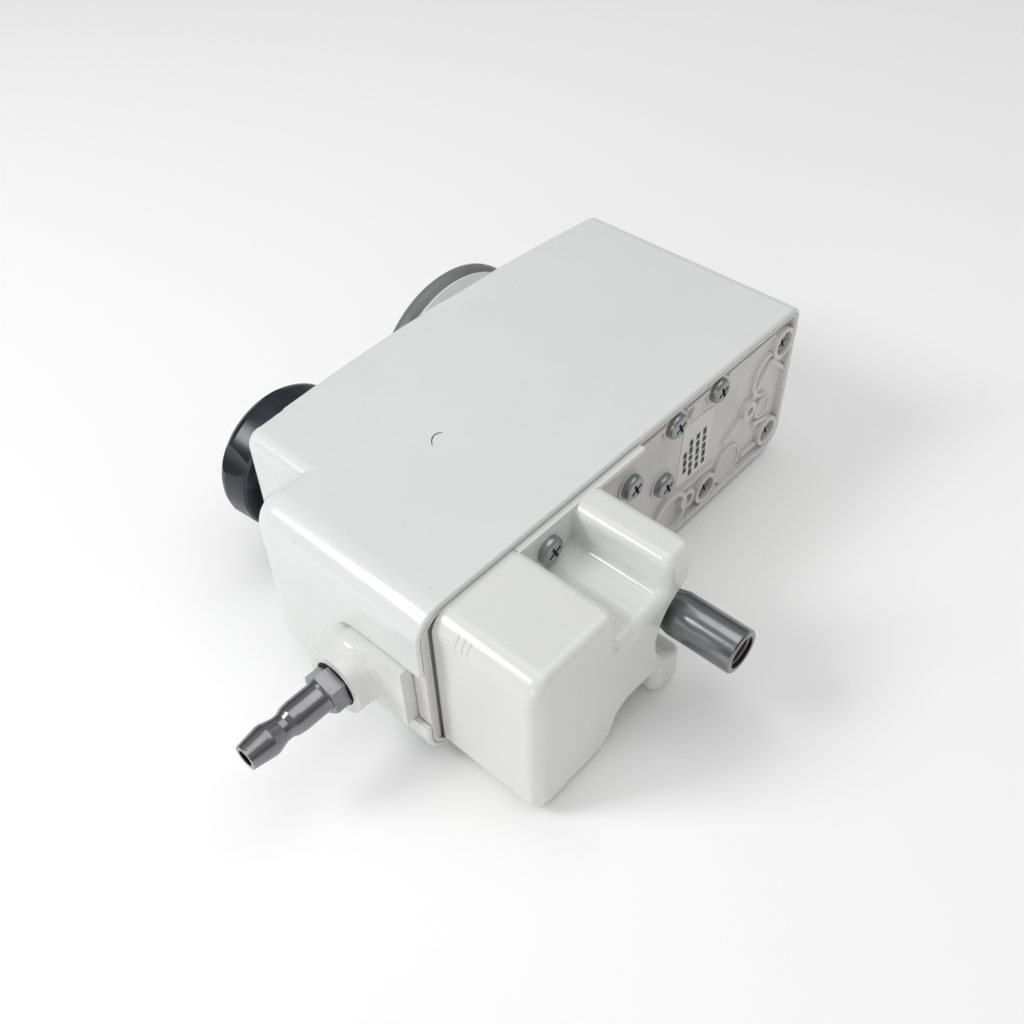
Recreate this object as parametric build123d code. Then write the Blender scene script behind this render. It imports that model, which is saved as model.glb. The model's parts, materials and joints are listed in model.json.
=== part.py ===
"""Wall vacuum regulator, lying on its side.

The design frame used while modelling: X runs from the top end (0) down to the hose end, Y runs from the
front face to the wall, and Z runs across the body, with Z = 0 on its mid-plane. The parts are moved at the
end, so that the origin is under the middle of the whole object, at its lowest point.
"""
import math
import os

from build123d import *

os.makedirs("parts", exist_ok=True)

# ---------------------------------------------------------------- driving dimensions (mm)
# front cover
body_len = 180.0            # top end to hose end
body_half = 30.5            # mid-plane to side face
rim_y = 88.0                # rear rim of the cover
front_end_y = 0.0           # front face at the top end
front_bow = 5.0             # how far the bowed front stands out in its middle
nose_len = 163.0            # top end to the stepped-back part of the hose end
step_y = 20.3               # where the full-length part starts
cover_wall = 2.6
lip_wall = 1.5              # thinner wall that takes the chassis
lip_depth = 4.7             # rim to the ledge under the chassis
corner_hose_r = 10.0        # corners of the hose end
corner_nose_r = 5.0         # corners of the stepped-back part
corner_top_r = 5.5          # upper corner of the top end
corner_low_r = 9.0          # lower corner of the top end
mouth_r = 9.0               # corners of the opening for the nipple holder
front_edge_r = 2.6
step_edge_r = 8.0
rim_edge_r = 0.9
hole_clearance = 0.3        # clearance round what passes through a hole
seam_turn = 17.0            # degrees that the seam of a turned part stands off the X axis

# rear chassis
chassis_thick = 2.7
chassis_gap = 0.25          # to the cover's lip
ridge_height = 2.0
ridge_width = 1.3
post_r = 4.5                # posts on the chassis and in the cover

# adapter housing
adapter_end_x = 174.3
adapter_top = 28.3          # upper and lower sides, from the mid-plane
adapter_low = -30.6
lobe_low = -32.0            # lower side of the lower lobe
adapter_depth = 34.9        # base to rear face
adapter_wall = 2.2
adapter_corner_r = 6.4
adapter_edge_r = 3.6
lobe_r = 3.8
lobe_x = 108.4              # outer side of the two lobes
lobe_width = 12.6
pocket_end_x = 141.0        # main block starts here
pocket_floor = 2.0          # thickness of the screwed flange
waist_top = 14.5
waist_low = -18.0
slot_x = 105.8              # centre and radius of the slot that the tube leaves through
slot_z = -2.2
slot_r = 16.6
slot_lip_r = 2.0
tab_x = 88.9                # end of the thin tab along the rim

# inlet tube
tube_x = 112.0
tube_end_y = 143.6
tube_r = 7.0
tube_neck_r = 6.0
tube_flare_y = 118.3
thread_r = 5.125            # 1/8-27 NPT bore
thread_len = 10.5
passage_r = 3.0

# hose nipple and its holder
nipple_y = 65.0
nipple_z = -3.1
boss_end_x = 191.0
boss_r = 10.0
counterbore_r = 7.25
counterbore_depth = 5.0
hex_across = 11.9
hex_turn = 42.0             # degrees that the nipple's hexagon is turned
neck_r = 3.8                # hose nipple between its collars
nipple_tip_x = 221.6
barb_r = 4.8
nipple_bore_r = 2.5
shank_r = 4.2
holder_low_y = 57.5
holder_high_y = 82.8
holder_low_z = -15.2
holder_high_z = 8.2
holder_plate = 4.0          # plate inside the cover's end wall
holder_proud = 2.4          # how far the plate stands out of it

# gauge
gauge_x = 70.0
pod_r = 33.5
pod_front_y = -5.2
bezel_r = 35.0
bezel_depth = 6.2
bezel_wall = 2.5
lens_seat = 1.55
lens_thick = 1.7
case_wall = 1.4
case_cup_r = 27.0
case_depth = 22.8
bourdon_r = 21.0
bourdon_thick = 1.8
bourdon_width = 6.0
socket_angle = 55.0
gear_module = 0.4
pinion_teeth = 12
sector_teeth = 60           # teeth of the full wheel that the sector is a part of
gear_thick = 1.2
gear_backlash = 0.10
arbor_r = 0.8
pivot_clearance = 0.05      # radial running clearance of every pivot

# knob and regulating module
knob_x = 142.0
knob_r = 24.6
knob_back_y = -5.0
knob_depth = 13.2
knob_lobes = 6
flute_r = 14.4              # radius of the shallow flutes round the knob
flute_depth = 1.2
spindle_r = 4.0
bonnet_r = 17.6
bonnet_wall = 2.5
bonnet_flange_r = 23.0
bonnet_neck_r = 7.5
bonnet_screw_r = 1.1
diaphragm_y = 31.0          # rear face of the bonnet's flange
diaphragm_thick = 0.8
chamber_r = 18.5
chamber_depth = 7.0
spring_wire_r = 0.8
spring_r = 10.0
seat_bore_r = 7.0
seat_thick = 3.6
valve_hole_r = 3.4
stem_r = 1.5
valve_travel = 1.2
block_low_x = 100.0
block_high_x = 164.0
block_half = 22.0
block_back_y = 76.0
bracket_thick = 2.5

# fasteners
pan_head_r = 4.3
pan_head_h = 2.6
screw_r = 1.7
well_r = 4.3
well_head_r = 3.9
well_floor = 1.2            # thickness left under the screws in the wells
screw_pad = 0.6             # height of the pads under the chassis's screws
screw_pad_margin = 1.1
chassis_pan_screws = [(45.8, 21.3), (68.6, 21.4), (89.7, 10.9), (72.3, -1.4)]
cover_well_screws = [(7.6, 18.0), (8.4, -20.8), (46.5, -21.6)]
adapter_pan_screws = [(131.6, 20.4), (131.6, -23.2)]

# ---------------------------------------------------------------- sizes that follow
rear_face_y = rim_y - lip_depth + chassis_thick
ledge_y = rim_y - lip_depth
adapter_base_y = rear_face_y + ridge_height + 0.1
adapter_back_y = adapter_base_y + adapter_depth
case_front_y = pod_front_y - bezel_depth + lens_seat + lens_thick
case_rear_y = pod_front_y + case_depth
bezel_bore_r = bezel_r - bezel_wall
case_rim_r = bezel_bore_r - 0.1
dial_y = pod_front_y + 4.8
pinion_r = gear_module * pinion_teeth / 2
sector_r = gear_module * sector_teeth / 2
sector_x = pinion_r + sector_r
block_front_y = diaphragm_y + diaphragm_thick
seat_y = block_front_y + chamber_depth + 7.0
valve_rest_y = seat_y + seat_thick + 0.05
block_axis_y = (valve_rest_y + block_back_y) / 2 - 4.0
bracket_back_y = block_back_y + bracket_thick


# ---------------------------------------------------------------- helpers
def prism(sketch, y_low, y_high):
    """Extrude a sketch drawn in X and Z from y_low to y_high."""
    return extrude(Plane.XZ.offset(-y_high) * sketch, amount=y_high - y_low)


def rod(x, z, y_low, y_high, radius):
    """Cylinder along Y."""
    return prism(Pos(x, z) * Circle(radius), y_low, y_high)


def cross_rod(y, z, x_low, x_high, radius):
    """Cylinder along X."""
    return extrude(Plane.YZ.offset(x_low) * Pos(y, z) * Circle(radius), amount=x_high - x_low)


def block(x_low, x_high, y_low, y_high, z_low, z_high):
    """Box between two corners."""
    centre = Pos((x_low + x_high) / 2, (y_low + y_high) / 2, (z_low + z_high) / 2)
    return centre * Box(x_high - x_low, y_high - y_low, z_high - z_low)


def turned(points, x, z):
    """Solid of revolution about a line along Y, from (radius, y) points."""
    profile = make_face(Polyline(*points, close=True))
    return Pos(x, 0, z) * Rot(0, seam_turn, 0) * revolve(profile, Axis.Y)


def turned_x(points, y, z):
    """Solid of revolution about a line along X, from (x, radius) points."""
    profile = make_face(Polyline(*points, close=True))
    return Pos(0, y, z) * revolve(profile, Axis.X)


def soften(sketch, corners):
    """Round the corners of a sketch; corners holds (point, radius) pairs."""
    for point, radius in corners:
        near = min(sketch.vertices(), key=lambda v: (v.X - point[0]) ** 2 + (v.Y - point[1]) ** 2)
        sketch = fillet(near, radius)
    return sketch


def body_outline(inset, x_high, corner_high):
    """Outline of the cover across Y, drawn in by inset."""
    half = body_half - inset
    low = inset
    high = x_high - inset
    middle = Pos((low + high) / 2, 0)
    outline = middle * Rectangle(high - low, 2 * half)
    high_r = max(corner_high - inset, 0.9)
    top_r = max(corner_top_r - inset, 0.9)
    low_r = max(corner_low_r - inset, 0.9)
    corners = [((high, half), high_r), ((high, -half), high_r), ((low, half), top_r), ((low, -half), low_r)]
    return soften(outline, corners)


def pan_screw(x, z, head_seat_y, head_r, shank_low_y):
    """Pan-head screw with a cross recess: head towards +Y of its seat, shank towards the front."""
    top = head_seat_y + pan_head_h
    head = rod(x, z, head_seat_y, top, head_r)
    head = fillet(head.faces().sort_by(Axis.Y)[-1].edges(), pan_head_h * 0.62)
    screw = head + rod(x, z, shank_low_y, head_seat_y, screw_r)
    slot_len = head_r * 1.15
    for turn in (25, 115):
        arm = Pos(x, top, z) * Rot(0, turn, 0) * Box(slot_len, pan_head_h * 1.1, head_r * 0.24)
        screw = screw - arm
    return screw


def involute_tooth(base_r, tip_r, root_r, pitch_r, half_angle_pitch):
    """Points of one tooth about angle zero, from its lower root to its upper root."""
    def flank(radius):
        roll = math.sqrt(max((radius / base_r) ** 2 - 1.0, 0.0))
        return roll - math.atan(roll)

    at_pitch = flank(pitch_r)
    steps = 5
    radii = [max(base_r, root_r) + (tip_r - max(base_r, root_r)) * i / steps for i in range(steps + 1)]
    upper = [(r, half_angle_pitch + at_pitch - flank(r)) for r in radii]
    upper = [(root_r, upper[0][1])] + upper if base_r > root_r else upper
    lower = [(r, -a) for r, a in upper]
    return lower + upper[::-1]


def gear_face(teeth, first, last, hub_r, addendum, dedendum, turn):
    """Face of a gear, or of the part of it from tooth first to tooth last; turn is in degrees."""
    pitch_r = gear_module * teeth / 2
    base_r = pitch_r * math.cos(math.radians(20))
    root_r = pitch_r - dedendum
    half = math.pi / (2 * teeth) - gear_backlash / (2 * pitch_r)
    outline = []
    for index in range(first, last + 1):
        centre = math.radians(turn) + index * 2 * math.pi / teeth
        for radius, angle in involute_tooth(base_r, pitch_r + addendum, root_r, pitch_r, half):
            outline.append((radius * math.cos(centre + angle), radius * math.sin(centre + angle)))
    if last - first + 1 < teeth:
        side = math.pi / teeth
        start = math.radians(turn) + first * 2 * math.pi / teeth - side
        end = math.radians(turn) + last * 2 * math.pi / teeth + side
        outline.append((root_r * math.cos(end), root_r * math.sin(end)))
        outline.append((hub_r * math.cos(end), hub_r * math.sin(end)))
        outline.append((hub_r * math.cos(start), hub_r * math.sin(start)))
        outline.append((root_r * math.cos(start), root_r * math.sin(start)))
    return make_face(Polyline(*outline, close=True))


# ---------------------------------------------------------------- front cover
def cover_form(inset, back_y):
    """Outer form of the cover up to back_y, or the same form drawn in by inset."""
    half = body_half - inset
    end_y = front_end_y + inset
    apex_y = end_y - front_bow
    nose_back_y = step_y + step_edge_r + 2.0
    low = (-5.0, end_y)
    high = (nose_len + 5.0, end_y)
    bow = ThreePointArc(low, (nose_len / 2, apex_y), high)
    back = Polyline(high, (nose_len + 5.0, nose_back_y), (-5.0, nose_back_y), low)
    nose = extrude(make_face(bow + back), amount=half, both=True)
    nose = nose & prism(body_outline(inset, nose_len, corner_nose_r), apex_y - 2.0, nose_back_y)
    if front_edge_r > inset:
        nose = fillet(nose.faces().sort_by(Axis.Y)[0].edges(), front_edge_r - inset)
    full_outline = body_outline(inset, body_len, corner_hose_r)
    shoulder_outline = full_outline - Rectangle(nose_len, 4 * body_half)
    shoulder = prism(shoulder_outline, step_y + inset, nose_back_y)
    shoulder = fillet(shoulder.faces().sort_by(Axis.Y)[0].edges(), max(step_edge_r - inset, 0.7))
    main = prism(body_outline(inset, body_len, corner_hose_r), nose_back_y - 1.0, back_y)
    return nose + shoulder + main


def pod():
    """White collar that flares out of the cover round the gauge."""
    flank = [(pod_r, pod_front_y), (pod_r, pod_front_y + 0.5), (body_half + 0.1, pod_front_y + 2.2)]
    foot_y = front_end_y + 1.0
    inner_r = case_cup_r - 2.0
    foot = [(body_half - cover_wall / 2, foot_y), (inner_r, foot_y), (inner_r, pod_front_y)]
    return turned(flank + foot, gauge_x, 0)


def front_cover():
    shell = cover_form(0, rim_y)
    rim = shell.faces().sort_by(Axis.Y)[-1]
    shell = fillet(rim.edges(), rim_edge_r)
    shell = shell + pod()
    shell = shell + rod(knob_x, 0, knob_pad_y, front_end_y, bonnet_neck_r + 6.0)
    shell = shell - cover_form(cover_wall, rim_y + 1.0)
    shell = shell - prism(body_outline(lip_wall, body_len, corner_hose_r), ledge_y, rim_y + 1.0)
    for x, z in cover_well_screws:
        post = rod(x, z, front_end_y, ledge_y, post_r) & cover_form(0.5, rim_y)
        shell = shell + post
        shell = shell - rod(x, z, ledge_y - 16.0, rim_y, screw_r)
    shell = shell - rod(gauge_x, 0, pod_front_y - 1.0, 20.0, case_cup_r + hole_clearance)
    shell = shell - rod(knob_x, 0, pod_front_y - 10.0, 20.0, bonnet_neck_r + hole_clearance)
    mouth_half = (holder_high_z - holder_low_z) / 2 + hole_clearance
    mouth_z = (holder_high_z + holder_low_z) / 2
    mouth_low_y = holder_low_y - 4.0
    mouth = Pos((mouth_low_y + rim_y + 2) / 2, mouth_z) * Rectangle(rim_y + 2 - mouth_low_y, 2 * mouth_half)
    mouth_corners = [(mouth_low_y, mouth_z - mouth_half), (mouth_low_y, mouth_z + mouth_half)]
    mouth = soften(mouth, [(corner, mouth_r) for corner in mouth_corners])
    shell = shell - extrude(Plane.YZ.offset(body_len - 12.0) * mouth, amount=20.0)
    return shell


knob_pad_y = front_end_y - front_bow + 0.4


# ---------------------------------------------------------------- rear chassis
def ring(x, z, outer_r, inner_r, height):
    """Raised ring on the chassis's rear face."""
    outer = rod(x, z, rear_face_y, rear_face_y + height, outer_r)
    return outer - rod(x, z, rear_face_y, rear_face_y + height, inner_r)


def rib(x_a, z_a, x_b, z_b, width, height):
    """Raised straight rib on the chassis's rear face."""
    length = math.hypot(x_b - x_a, z_b - z_a)
    turn = -math.degrees(math.atan2(z_b - z_a, x_b - x_a))
    place = Pos((x_a + x_b) / 2, rear_face_y + height / 2, (z_a + z_b) / 2)
    return place * Rot(0, turn, 0) * Box(length, height, width)


def chassis_edge(extra):
    """Outline of the chassis, drawn in by extra."""
    return body_outline(lip_wall + chassis_gap + extra, body_len, corner_hose_r)


def rear_chassis():
    top_y = rear_face_y + ridge_height
    plate = prism(chassis_edge(0), ledge_y, rear_face_y)
    ridge = prism(chassis_edge(0), rear_face_y, top_y) - prism(chassis_edge(ridge_width), rear_face_y, top_y)
    plate = plate + ridge
    inner_low_x = lip_wall + chassis_gap + ridge_width
    inner_half = body_half - inner_low_x
    # wells, bosses and rings
    for x, z in cover_well_screws:
        plate = plate + (rod(x, z, rear_face_y, top_y, well_r + 1.6) & prism(chassis_edge(0), ledge_y, top_y))
    for x, z in chassis_pan_screws:
        plate = plate + rod(x, z, rear_face_y, rear_face_y + screw_pad, pan_head_r + screw_pad_margin)
    for x, z in adapter_pan_screws:
        plate = plate + rod(x, z, rear_face_y, adapter_base_y, pan_head_r + screw_pad_margin)
    port_ring = ring(port_boss[0], port_boss[1], 9.6, 7.9, 1.6) & prism(chassis_edge(0), rear_face_y, top_y)
    plate = plate + port_ring
    plate = plate + ring(small_boss[0], small_boss[1], 4.0, 2.3, 1.6)
    plate = plate + ring(disc_boss[0], disc_boss[1], disc_r + 1.0, disc_r, 1.2)
    plate = plate + ring(disc_small[0], disc_small[1], disc_small_r + 1.0, disc_small_r, 1.2)
    plate = plate + rod(tube_boss[0], tube_boss[1], rear_face_y, rear_face_y + 2.4, 3.6)
    # ribs between the bosses and along the rim
    plate = plate + rib(13.5, inner_half - 3.2, 40.5, inner_half - 3.2, 1.3, 1.3)
    plate = plate + rib(51.0, inner_half - 3.4, 63.0, inner_half - 3.4, 1.3, 1.3)
    plate = plate + rib(74.0, inner_half - 3.6, 100.0, inner_half - 3.6, 1.3, 1.3)
    plate = plate + rib(58.0, inner_half - 3.0, 60.0, inner_half - 9.0, 1.3, 1.2)
    plate = plate + rib(13.0, 13.6, 24.4, tube_boss[1], 1.6, 1.3)
    plate = plate + rib(24.4, tube_boss[1], 37.0, -8.5, 1.6, 1.3)
    plate = plate + rib(9.0, -14.4, 18.5, -11.4, 1.6, 1.3)
    plate = plate + rib(14.0, -23.5, 24.0, -23.0, 1.6, 1.2)
    plate = plate + rib(inner_low_x, 4.5, 13.0, 13.6, 1.6, 1.3)
    plate = plate + rib(42.0, -13.5, 60.5, -13.5, 1.4, 1.0)
    plate = plate + rib(60.5, -13.5, 63.0, -12.5, 1.4, 1.0)
    strip = block(adapter_end_x + 0.8, body_len, rear_face_y, rear_face_y + 1.5, adapter_low, adapter_top)
    plate = plate + (strip & prism(chassis_edge(0), rear_face_y, top_y))
    arc_ridge = ring(14.0, 8.5, 9.0, 7.6, 1.3) & block(14.0, 30.0, 0, rim_y, -2.0, 20.0)
    plate = plate + arc_ridge
    # posts on the front face
    for x, z in chassis_pan_screws + adapter_pan_screws:
        plate = plate + rod(x, z, bracket_back_y, ledge_y, post_r)
    # holes
    plate = plate - rod(port_boss[0], port_boss[1], rear_face_y - 1.2, rear_face_y, 6.2)
    plate = plate - rod(small_boss[0], small_boss[1], rear_face_y - 1.2, rear_face_y, 2.3)
    plate = plate - rod(tube_boss[0], tube_boss[1], rear_face_y - 1.0, rim_y + 2.0, 1.8)
    for x, z in cover_well_screws:
        plate = plate - rod(x, z, ledge_y + well_floor, rim_y, well_r)
        plate = plate - rod(x, z, ledge_y - 1.0, rim_y, screw_r)
    for x, z in chassis_pan_screws + adapter_pan_screws:
        plate = plate - rod(x, z, bracket_back_y - 1.0, adapter_base_y + 1.0, screw_r)
    plate = plate - rod(tube_x, 0, ledge_y - 1.0, rim_y, tube_neck_r + hole_clearance)
    return plate


port_boss = (66.8, -20.4)
small_boss = (56.7, -19.4)
disc_boss = (33.0, -20.0)
disc_r = 6.6
disc_small = (14.1, -6.2)
disc_small_r = 3.6
tube_boss = (24.4, -1.0)


def port_plugs():
    big = rod(disc_boss[0], disc_boss[1], rear_face_y, rear_face_y + 0.8, disc_r)
    small = rod(disc_small[0], disc_small[1], rear_face_y, rear_face_y + 0.8, disc_small_r)
    port = rod(port_boss[0], port_boss[1], rear_face_y - 1.2, rear_face_y - 0.4, 6.2)
    return Compound(children=[big, small, port])


label_thick = 0.2


def rear_label():
    place = Pos(54.0, rear_face_y + label_thick / 2, 1.9) * Rot(0, -4, 0)
    return place * Box(17.2, label_thick, 25.4)


# ---------------------------------------------------------------- adapter housing
def adapter_outline():
    """Rear view of the block: main part, waist and two lobes."""
    lobe_end = lobe_x + lobe_width
    valley = waist_top - 1.6
    ridge_x = lobe_end + 9.5
    low_wall_x = pocket_end_x - 4.0
    corners = [
        ((lobe_x, adapter_top), lobe_r), ((lobe_end, adapter_top), lobe_r),
        ((lobe_end, waist_top + 0.8), 3.0),
        ((ridge_x, waist_top + 0.2), 4.8), ((ridge_x + 4.0, valley), 2.0), ((pocket_end_x, valley), 2.0),
        ((pocket_end_x, adapter_top), lobe_r), ((adapter_end_x, adapter_top), adapter_corner_r),
        ((adapter_end_x, adapter_low), adapter_corner_r), ((pocket_end_x + 2.0, adapter_low), 9.0),
        ((low_wall_x, waist_low), 5.0), ((lobe_end, waist_low - 0.8), 3.0),
        ((lobe_end, lobe_low), lobe_r), ((lobe_x, lobe_low), lobe_r),
    ]
    outline = make_face(Polyline(*[point for point, radius in corners], close=True))
    return soften(outline, corners)


def adapter_housing():
    body = prism(adapter_outline(), adapter_base_y, adapter_back_y)
    body = fillet(body.faces().sort_by(Axis.Y)[-1].edges(), adapter_edge_r)
    body = body - rod(slot_x, slot_z, adapter_base_y - 1.0, adapter_back_y + 1.0, slot_r)
    slot_half = math.sqrt(slot_r ** 2 - (lobe_x - slot_x) ** 2)
    lips = [e for e in body.edges().filter_by(Axis.Y)
            if abs((e @ 0.5).X - lobe_x) < 0.1 and abs(abs((e @ 0.5).Z - slot_z) - slot_half) < 0.1]
    body = fillet(lips, slot_lip_r)
    mouth_y = adapter_back_y - 1.8
    mouth = [(0, mouth_y), (slot_r, mouth_y), (slot_r + 0.25, mouth_y + 0.8), (slot_r + 0.9, mouth_y + 1.5),
             (slot_r + 2.0, mouth_y + 2.0), (0, mouth_y + 2.0)]
    body = body - turned(mouth, slot_x, slot_z)
    middle_z = (adapter_top + adapter_low) / 2
    flange = Pos((lobe_x + pocket_end_x + 2) / 2, middle_z) * Rectangle(
        pocket_end_x + 2 - lobe_x, adapter_top - adapter_low)
    flange = flange - Pos(slot_x, slot_z) * Circle(slot_r - 4.0)
    body = body + prism(flange, adapter_base_y, adapter_base_y + pocket_floor)
    tab_back_y = adapter_base_y + 2.3
    body = body + block(tab_x, lobe_x + 2.0, adapter_base_y, tab_back_y, adapter_top - 1.6, adapter_top)
    inner_x = pocket_end_x + adapter_wall
    inner_end_x = adapter_end_x - adapter_wall
    inner_top = adapter_top - adapter_wall
    inner_low = adapter_low + adapter_wall + 2.0
    inner_back_y = adapter_back_y - adapter_wall
    cavity = block(inner_x + 2.0, inner_end_x, adapter_base_y, inner_back_y, inner_low, inner_top)
    cavity = fillet(cavity.edges().filter_by(Axis.Y), adapter_corner_r - adapter_wall)
    cavity = fillet(cavity.faces().sort_by(Axis.Y)[-1].edges(), adapter_edge_r - adapter_wall)
    neck_low_x = slot_x + slot_r + adapter_wall
    neck_top = waist_top - 4.0 - adapter_wall
    neck_low = waist_low + adapter_wall + 3.0
    cavity = cavity + block(neck_low_x, inner_x + 4.0, adapter_base_y, inner_back_y - 4.0, neck_low, neck_top)
    body = body - cavity
    for x, z in adapter_pan_screws:
        body = body - rod(x, z, adapter_base_y, adapter_base_y + pocket_floor, screw_r)
    return body


# ---------------------------------------------------------------- inlet tube
def inlet_tube():
    start_y = block_back_y - 11.0
    flare_end = tube_flare_y + 4.0
    outer = [(tube_neck_r, start_y), (tube_neck_r, tube_flare_y), (tube_r, flare_end),
             (tube_r, tube_end_y - 0.5), (tube_r - 0.5, tube_end_y)]
    thread_start = tube_end_y - thread_len
    inner = [(thread_r, tube_end_y), (thread_r, thread_start), (passage_r, thread_start - 1.6),
             (passage_r, start_y)]
    return turned(outer + inner, tube_x, 0)


def inlet_filter():
    high = tube_end_y - thread_len - 2.0
    return rod(tube_x, 0, high - 5.0, high, passage_r)


# ---------------------------------------------------------------- hose nipple and holder
def hose_nipple():
    shank_x = boss_end_x - counterbore_depth
    hex_x = boss_end_x - 0.4
    hex_end = hex_x + 5.6
    neck_end = nipple_tip_x - 17.0
    outer = [(shank_x - 8.0, nipple_bore_r), (shank_x - 8.0, shank_r), (shank_x, shank_r), (shank_x, 5.6),
             (hex_x + 1.0, 5.6), (hex_x + 1.0, 5.1), (hex_end, 5.1), (hex_end + 0.8, barb_r),
             (neck_end, barb_r),
             (neck_end + 2.4, 4.5), (neck_end + 4.0, neck_r), (neck_end + 5.8, neck_r),
             (nipple_tip_x - 7.6, barb_r), (nipple_tip_x - 6.6, barb_r), (nipple_tip_x, neck_r),
             (nipple_tip_x, nipple_bore_r)]
    body = turned_x(outer, nipple_y, nipple_z)
    cone_r = hex_across / math.sqrt(3)
    hexagon = Pos(nipple_y, nipple_z) * Rot(0, 0, hex_turn) * RegularPolygon(cone_r, 6)
    nut = extrude(Plane.YZ.offset(hex_x) * hexagon, amount=hex_end - hex_x)
    taper = [(hex_x, 0), (hex_x, cone_r - 0.3), (hex_x + 0.5, cone_r + 0.1), (hex_end - 0.5, cone_r + 0.1),
             (hex_end, cone_r - 0.6), (hex_end, 0)]
    nut = nut & turned_x(taper, nipple_y, nipple_z)
    bore = cross_rod(nipple_y, nipple_z, shank_x - 9.0, nipple_tip_x + 1.0, nipple_bore_r)
    return body + (nut - bore)


def nipple_seal():
    face_x = boss_end_x - counterbore_depth
    seal = cross_rod(nipple_y, nipple_z, face_x, face_x + 1.0, counterbore_r - 0.1)
    return seal - cross_rod(nipple_y, nipple_z, face_x, face_x + 1.0, 5.6)


def nipple_holder():
    mid_z = (holder_high_z + holder_low_z) / 2
    mid_y = (holder_high_y + holder_low_y) / 2
    face = Pos(mid_y, mid_z) * Rectangle(holder_high_y - holder_low_y, holder_high_z - holder_low_z)
    face = soften(face, [((holder_low_y, holder_low_z), 6.0), ((holder_low_y, holder_high_z), 6.0)])
    plate_front_x = body_len + holder_proud
    plate = extrude(Plane.YZ.offset(body_len - holder_plate) * face, amount=holder_plate + holder_proud)
    flange_y = holder_low_y - 6.0
    flange_width = holder_high_z - holder_low_z + 8.0
    flange = Pos((flange_y + holder_high_y) / 2, mid_z) * Rectangle(holder_high_y - flange_y, flange_width)
    inner_x = body_len - cover_wall - 0.2
    plate = plate + extrude(Plane.YZ.offset(inner_x - 2.5) * flange, amount=2.5)
    boss = cross_rod(nipple_y, nipple_z, inner_x - 2.0, boss_end_x, boss_r)
    ear = Pos(nipple_y - 5.6, nipple_z + 4.6) * Rectangle(7.4, 9.4)
    ear = soften(ear, [((nipple_y - 9.3, nipple_z + 9.3), 1.2)])
    boss = boss + extrude(Plane.YZ.offset(inner_x - 2.0) * ear, amount=boss_end_x - 0.6 - inner_x + 2.0)
    holder = plate + boss
    foot_x = plate_front_x - 1.0
    flare_end = plate_front_x + 5.6
    flare = [(foot_x, 0), (foot_x, boss_r + 4.4), (plate_front_x, boss_r + 4.4),
             (plate_front_x + 0.5, boss_r + 3.0), (plate_front_x + 1.3, boss_r + 1.8), (plate_front_x + 2.6, boss_r + 0.9),
             (plate_front_x + 4.2, boss_r + 0.3), (flare_end, boss_r - 0.1), (flare_end, 0)]
    foot_area = extrude(Plane.YZ.offset(foot_x) * face, amount=8.0)
    holder = holder + (turned_x(flare, nipple_y, nipple_z) & foot_area)
    spigot = cross_rod(nipple_y, nipple_z, holder_spigot_x, inner_x, 5.6)
    holder = holder + spigot
    shank_x = boss_end_x - counterbore_depth
    holder = holder - cross_rod(nipple_y, nipple_z, shank_x, boss_end_x + 1.0, counterbore_r)
    holder = holder - cross_rod(nipple_y, nipple_z, shank_x - 8.0, boss_end_x, shank_r)
    return holder - cross_rod(nipple_y, nipple_z, holder_spigot_x - 1.0, boss_end_x, nipple_bore_r)


holder_spigot_x = body_len - cover_wall - 9.0


def outlet_hose():
    outer = cross_rod(nipple_y, nipple_z, block_high_x, holder_spigot_x, 5.6)
    return outer - cross_rod(nipple_y, nipple_z, block_high_x, holder_spigot_x, nipple_bore_r)


# ---------------------------------------------------------------- gauge
def gauge_bezel():
    front = pod_front_y - bezel_depth
    bore = bezel_bore_r
    sight_r = case_cup_r + 0.2
    outer = [(pod_r, pod_front_y), (bezel_r - 0.4, pod_front_y - 1.5), (bezel_r, pod_front_y - 3.4),
             (bezel_r - 0.3, front + 1.4), (bezel_r - 1.2, front + 0.4), (bezel_r - 2.8, front),
             (sight_r + 2.2, front + 0.15), (sight_r + 0.6, front + 0.7), (sight_r, front + lens_seat)]
    inner = [(bore, front + lens_seat), (bore, pod_front_y)]
    return turned(outer + inner, gauge_x, 0)


def gauge_lens():
    front = pod_front_y - bezel_depth + lens_seat
    return rod(gauge_x, 0, front, front + lens_thick, case_rim_r)


def gauge_case():
    cup_inner = case_cup_r - case_wall
    flange_y = pod_front_y - case_wall
    outer = [(case_rim_r, flange_y), (case_rim_r, pod_front_y), (case_cup_r, pod_front_y),
             (case_cup_r, case_rear_y), (0, case_rear_y)]
    inner = [(0, case_rear_y - case_wall), (cup_inner, case_rear_y - case_wall), (cup_inner, case_front_y),
             (case_cup_r + 1.4, case_front_y), (case_cup_r + 1.4, flange_y)]
    case = turned(outer + inner, gauge_x, 0)
    return case - rod(socket_x, socket_z, case_rear_y - 3.0, case_rear_y + 1.0, 3.0 + hole_clearance)


def gauge_dial():
    dial = rod(gauge_x, 0, dial_y - 0.8, dial_y, case_cup_r - case_wall - 0.1)
    return dial - rod(gauge_x, 0, dial_y - 1.0, dial_y + 1.0, arbor_r + 0.4)


socket_x = gauge_x + bourdon_r * math.cos(math.radians(socket_angle))
socket_z = bourdon_r * math.sin(math.radians(socket_angle))
gear_y = dial_y + 4.3
plate_low_y = gear_y - 3.3
plate_high_y = gear_y + 4.2
tail_r = 3.5
tube_low_y = plate_low_y
zero_angle = -135.0         # the pointer at zero, from the top of the dial
pointer_swing = 270.0
sector_swing = pointer_swing * pinion_teeth / sector_teeth
tail_dx = tail_r * math.cos(math.radians(sector_swing / 2))
tail_dz = -tail_r * math.sin(math.radians(sector_swing / 2))
tip_x = gauge_x + 15.5
tip_z = -9.0


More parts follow.
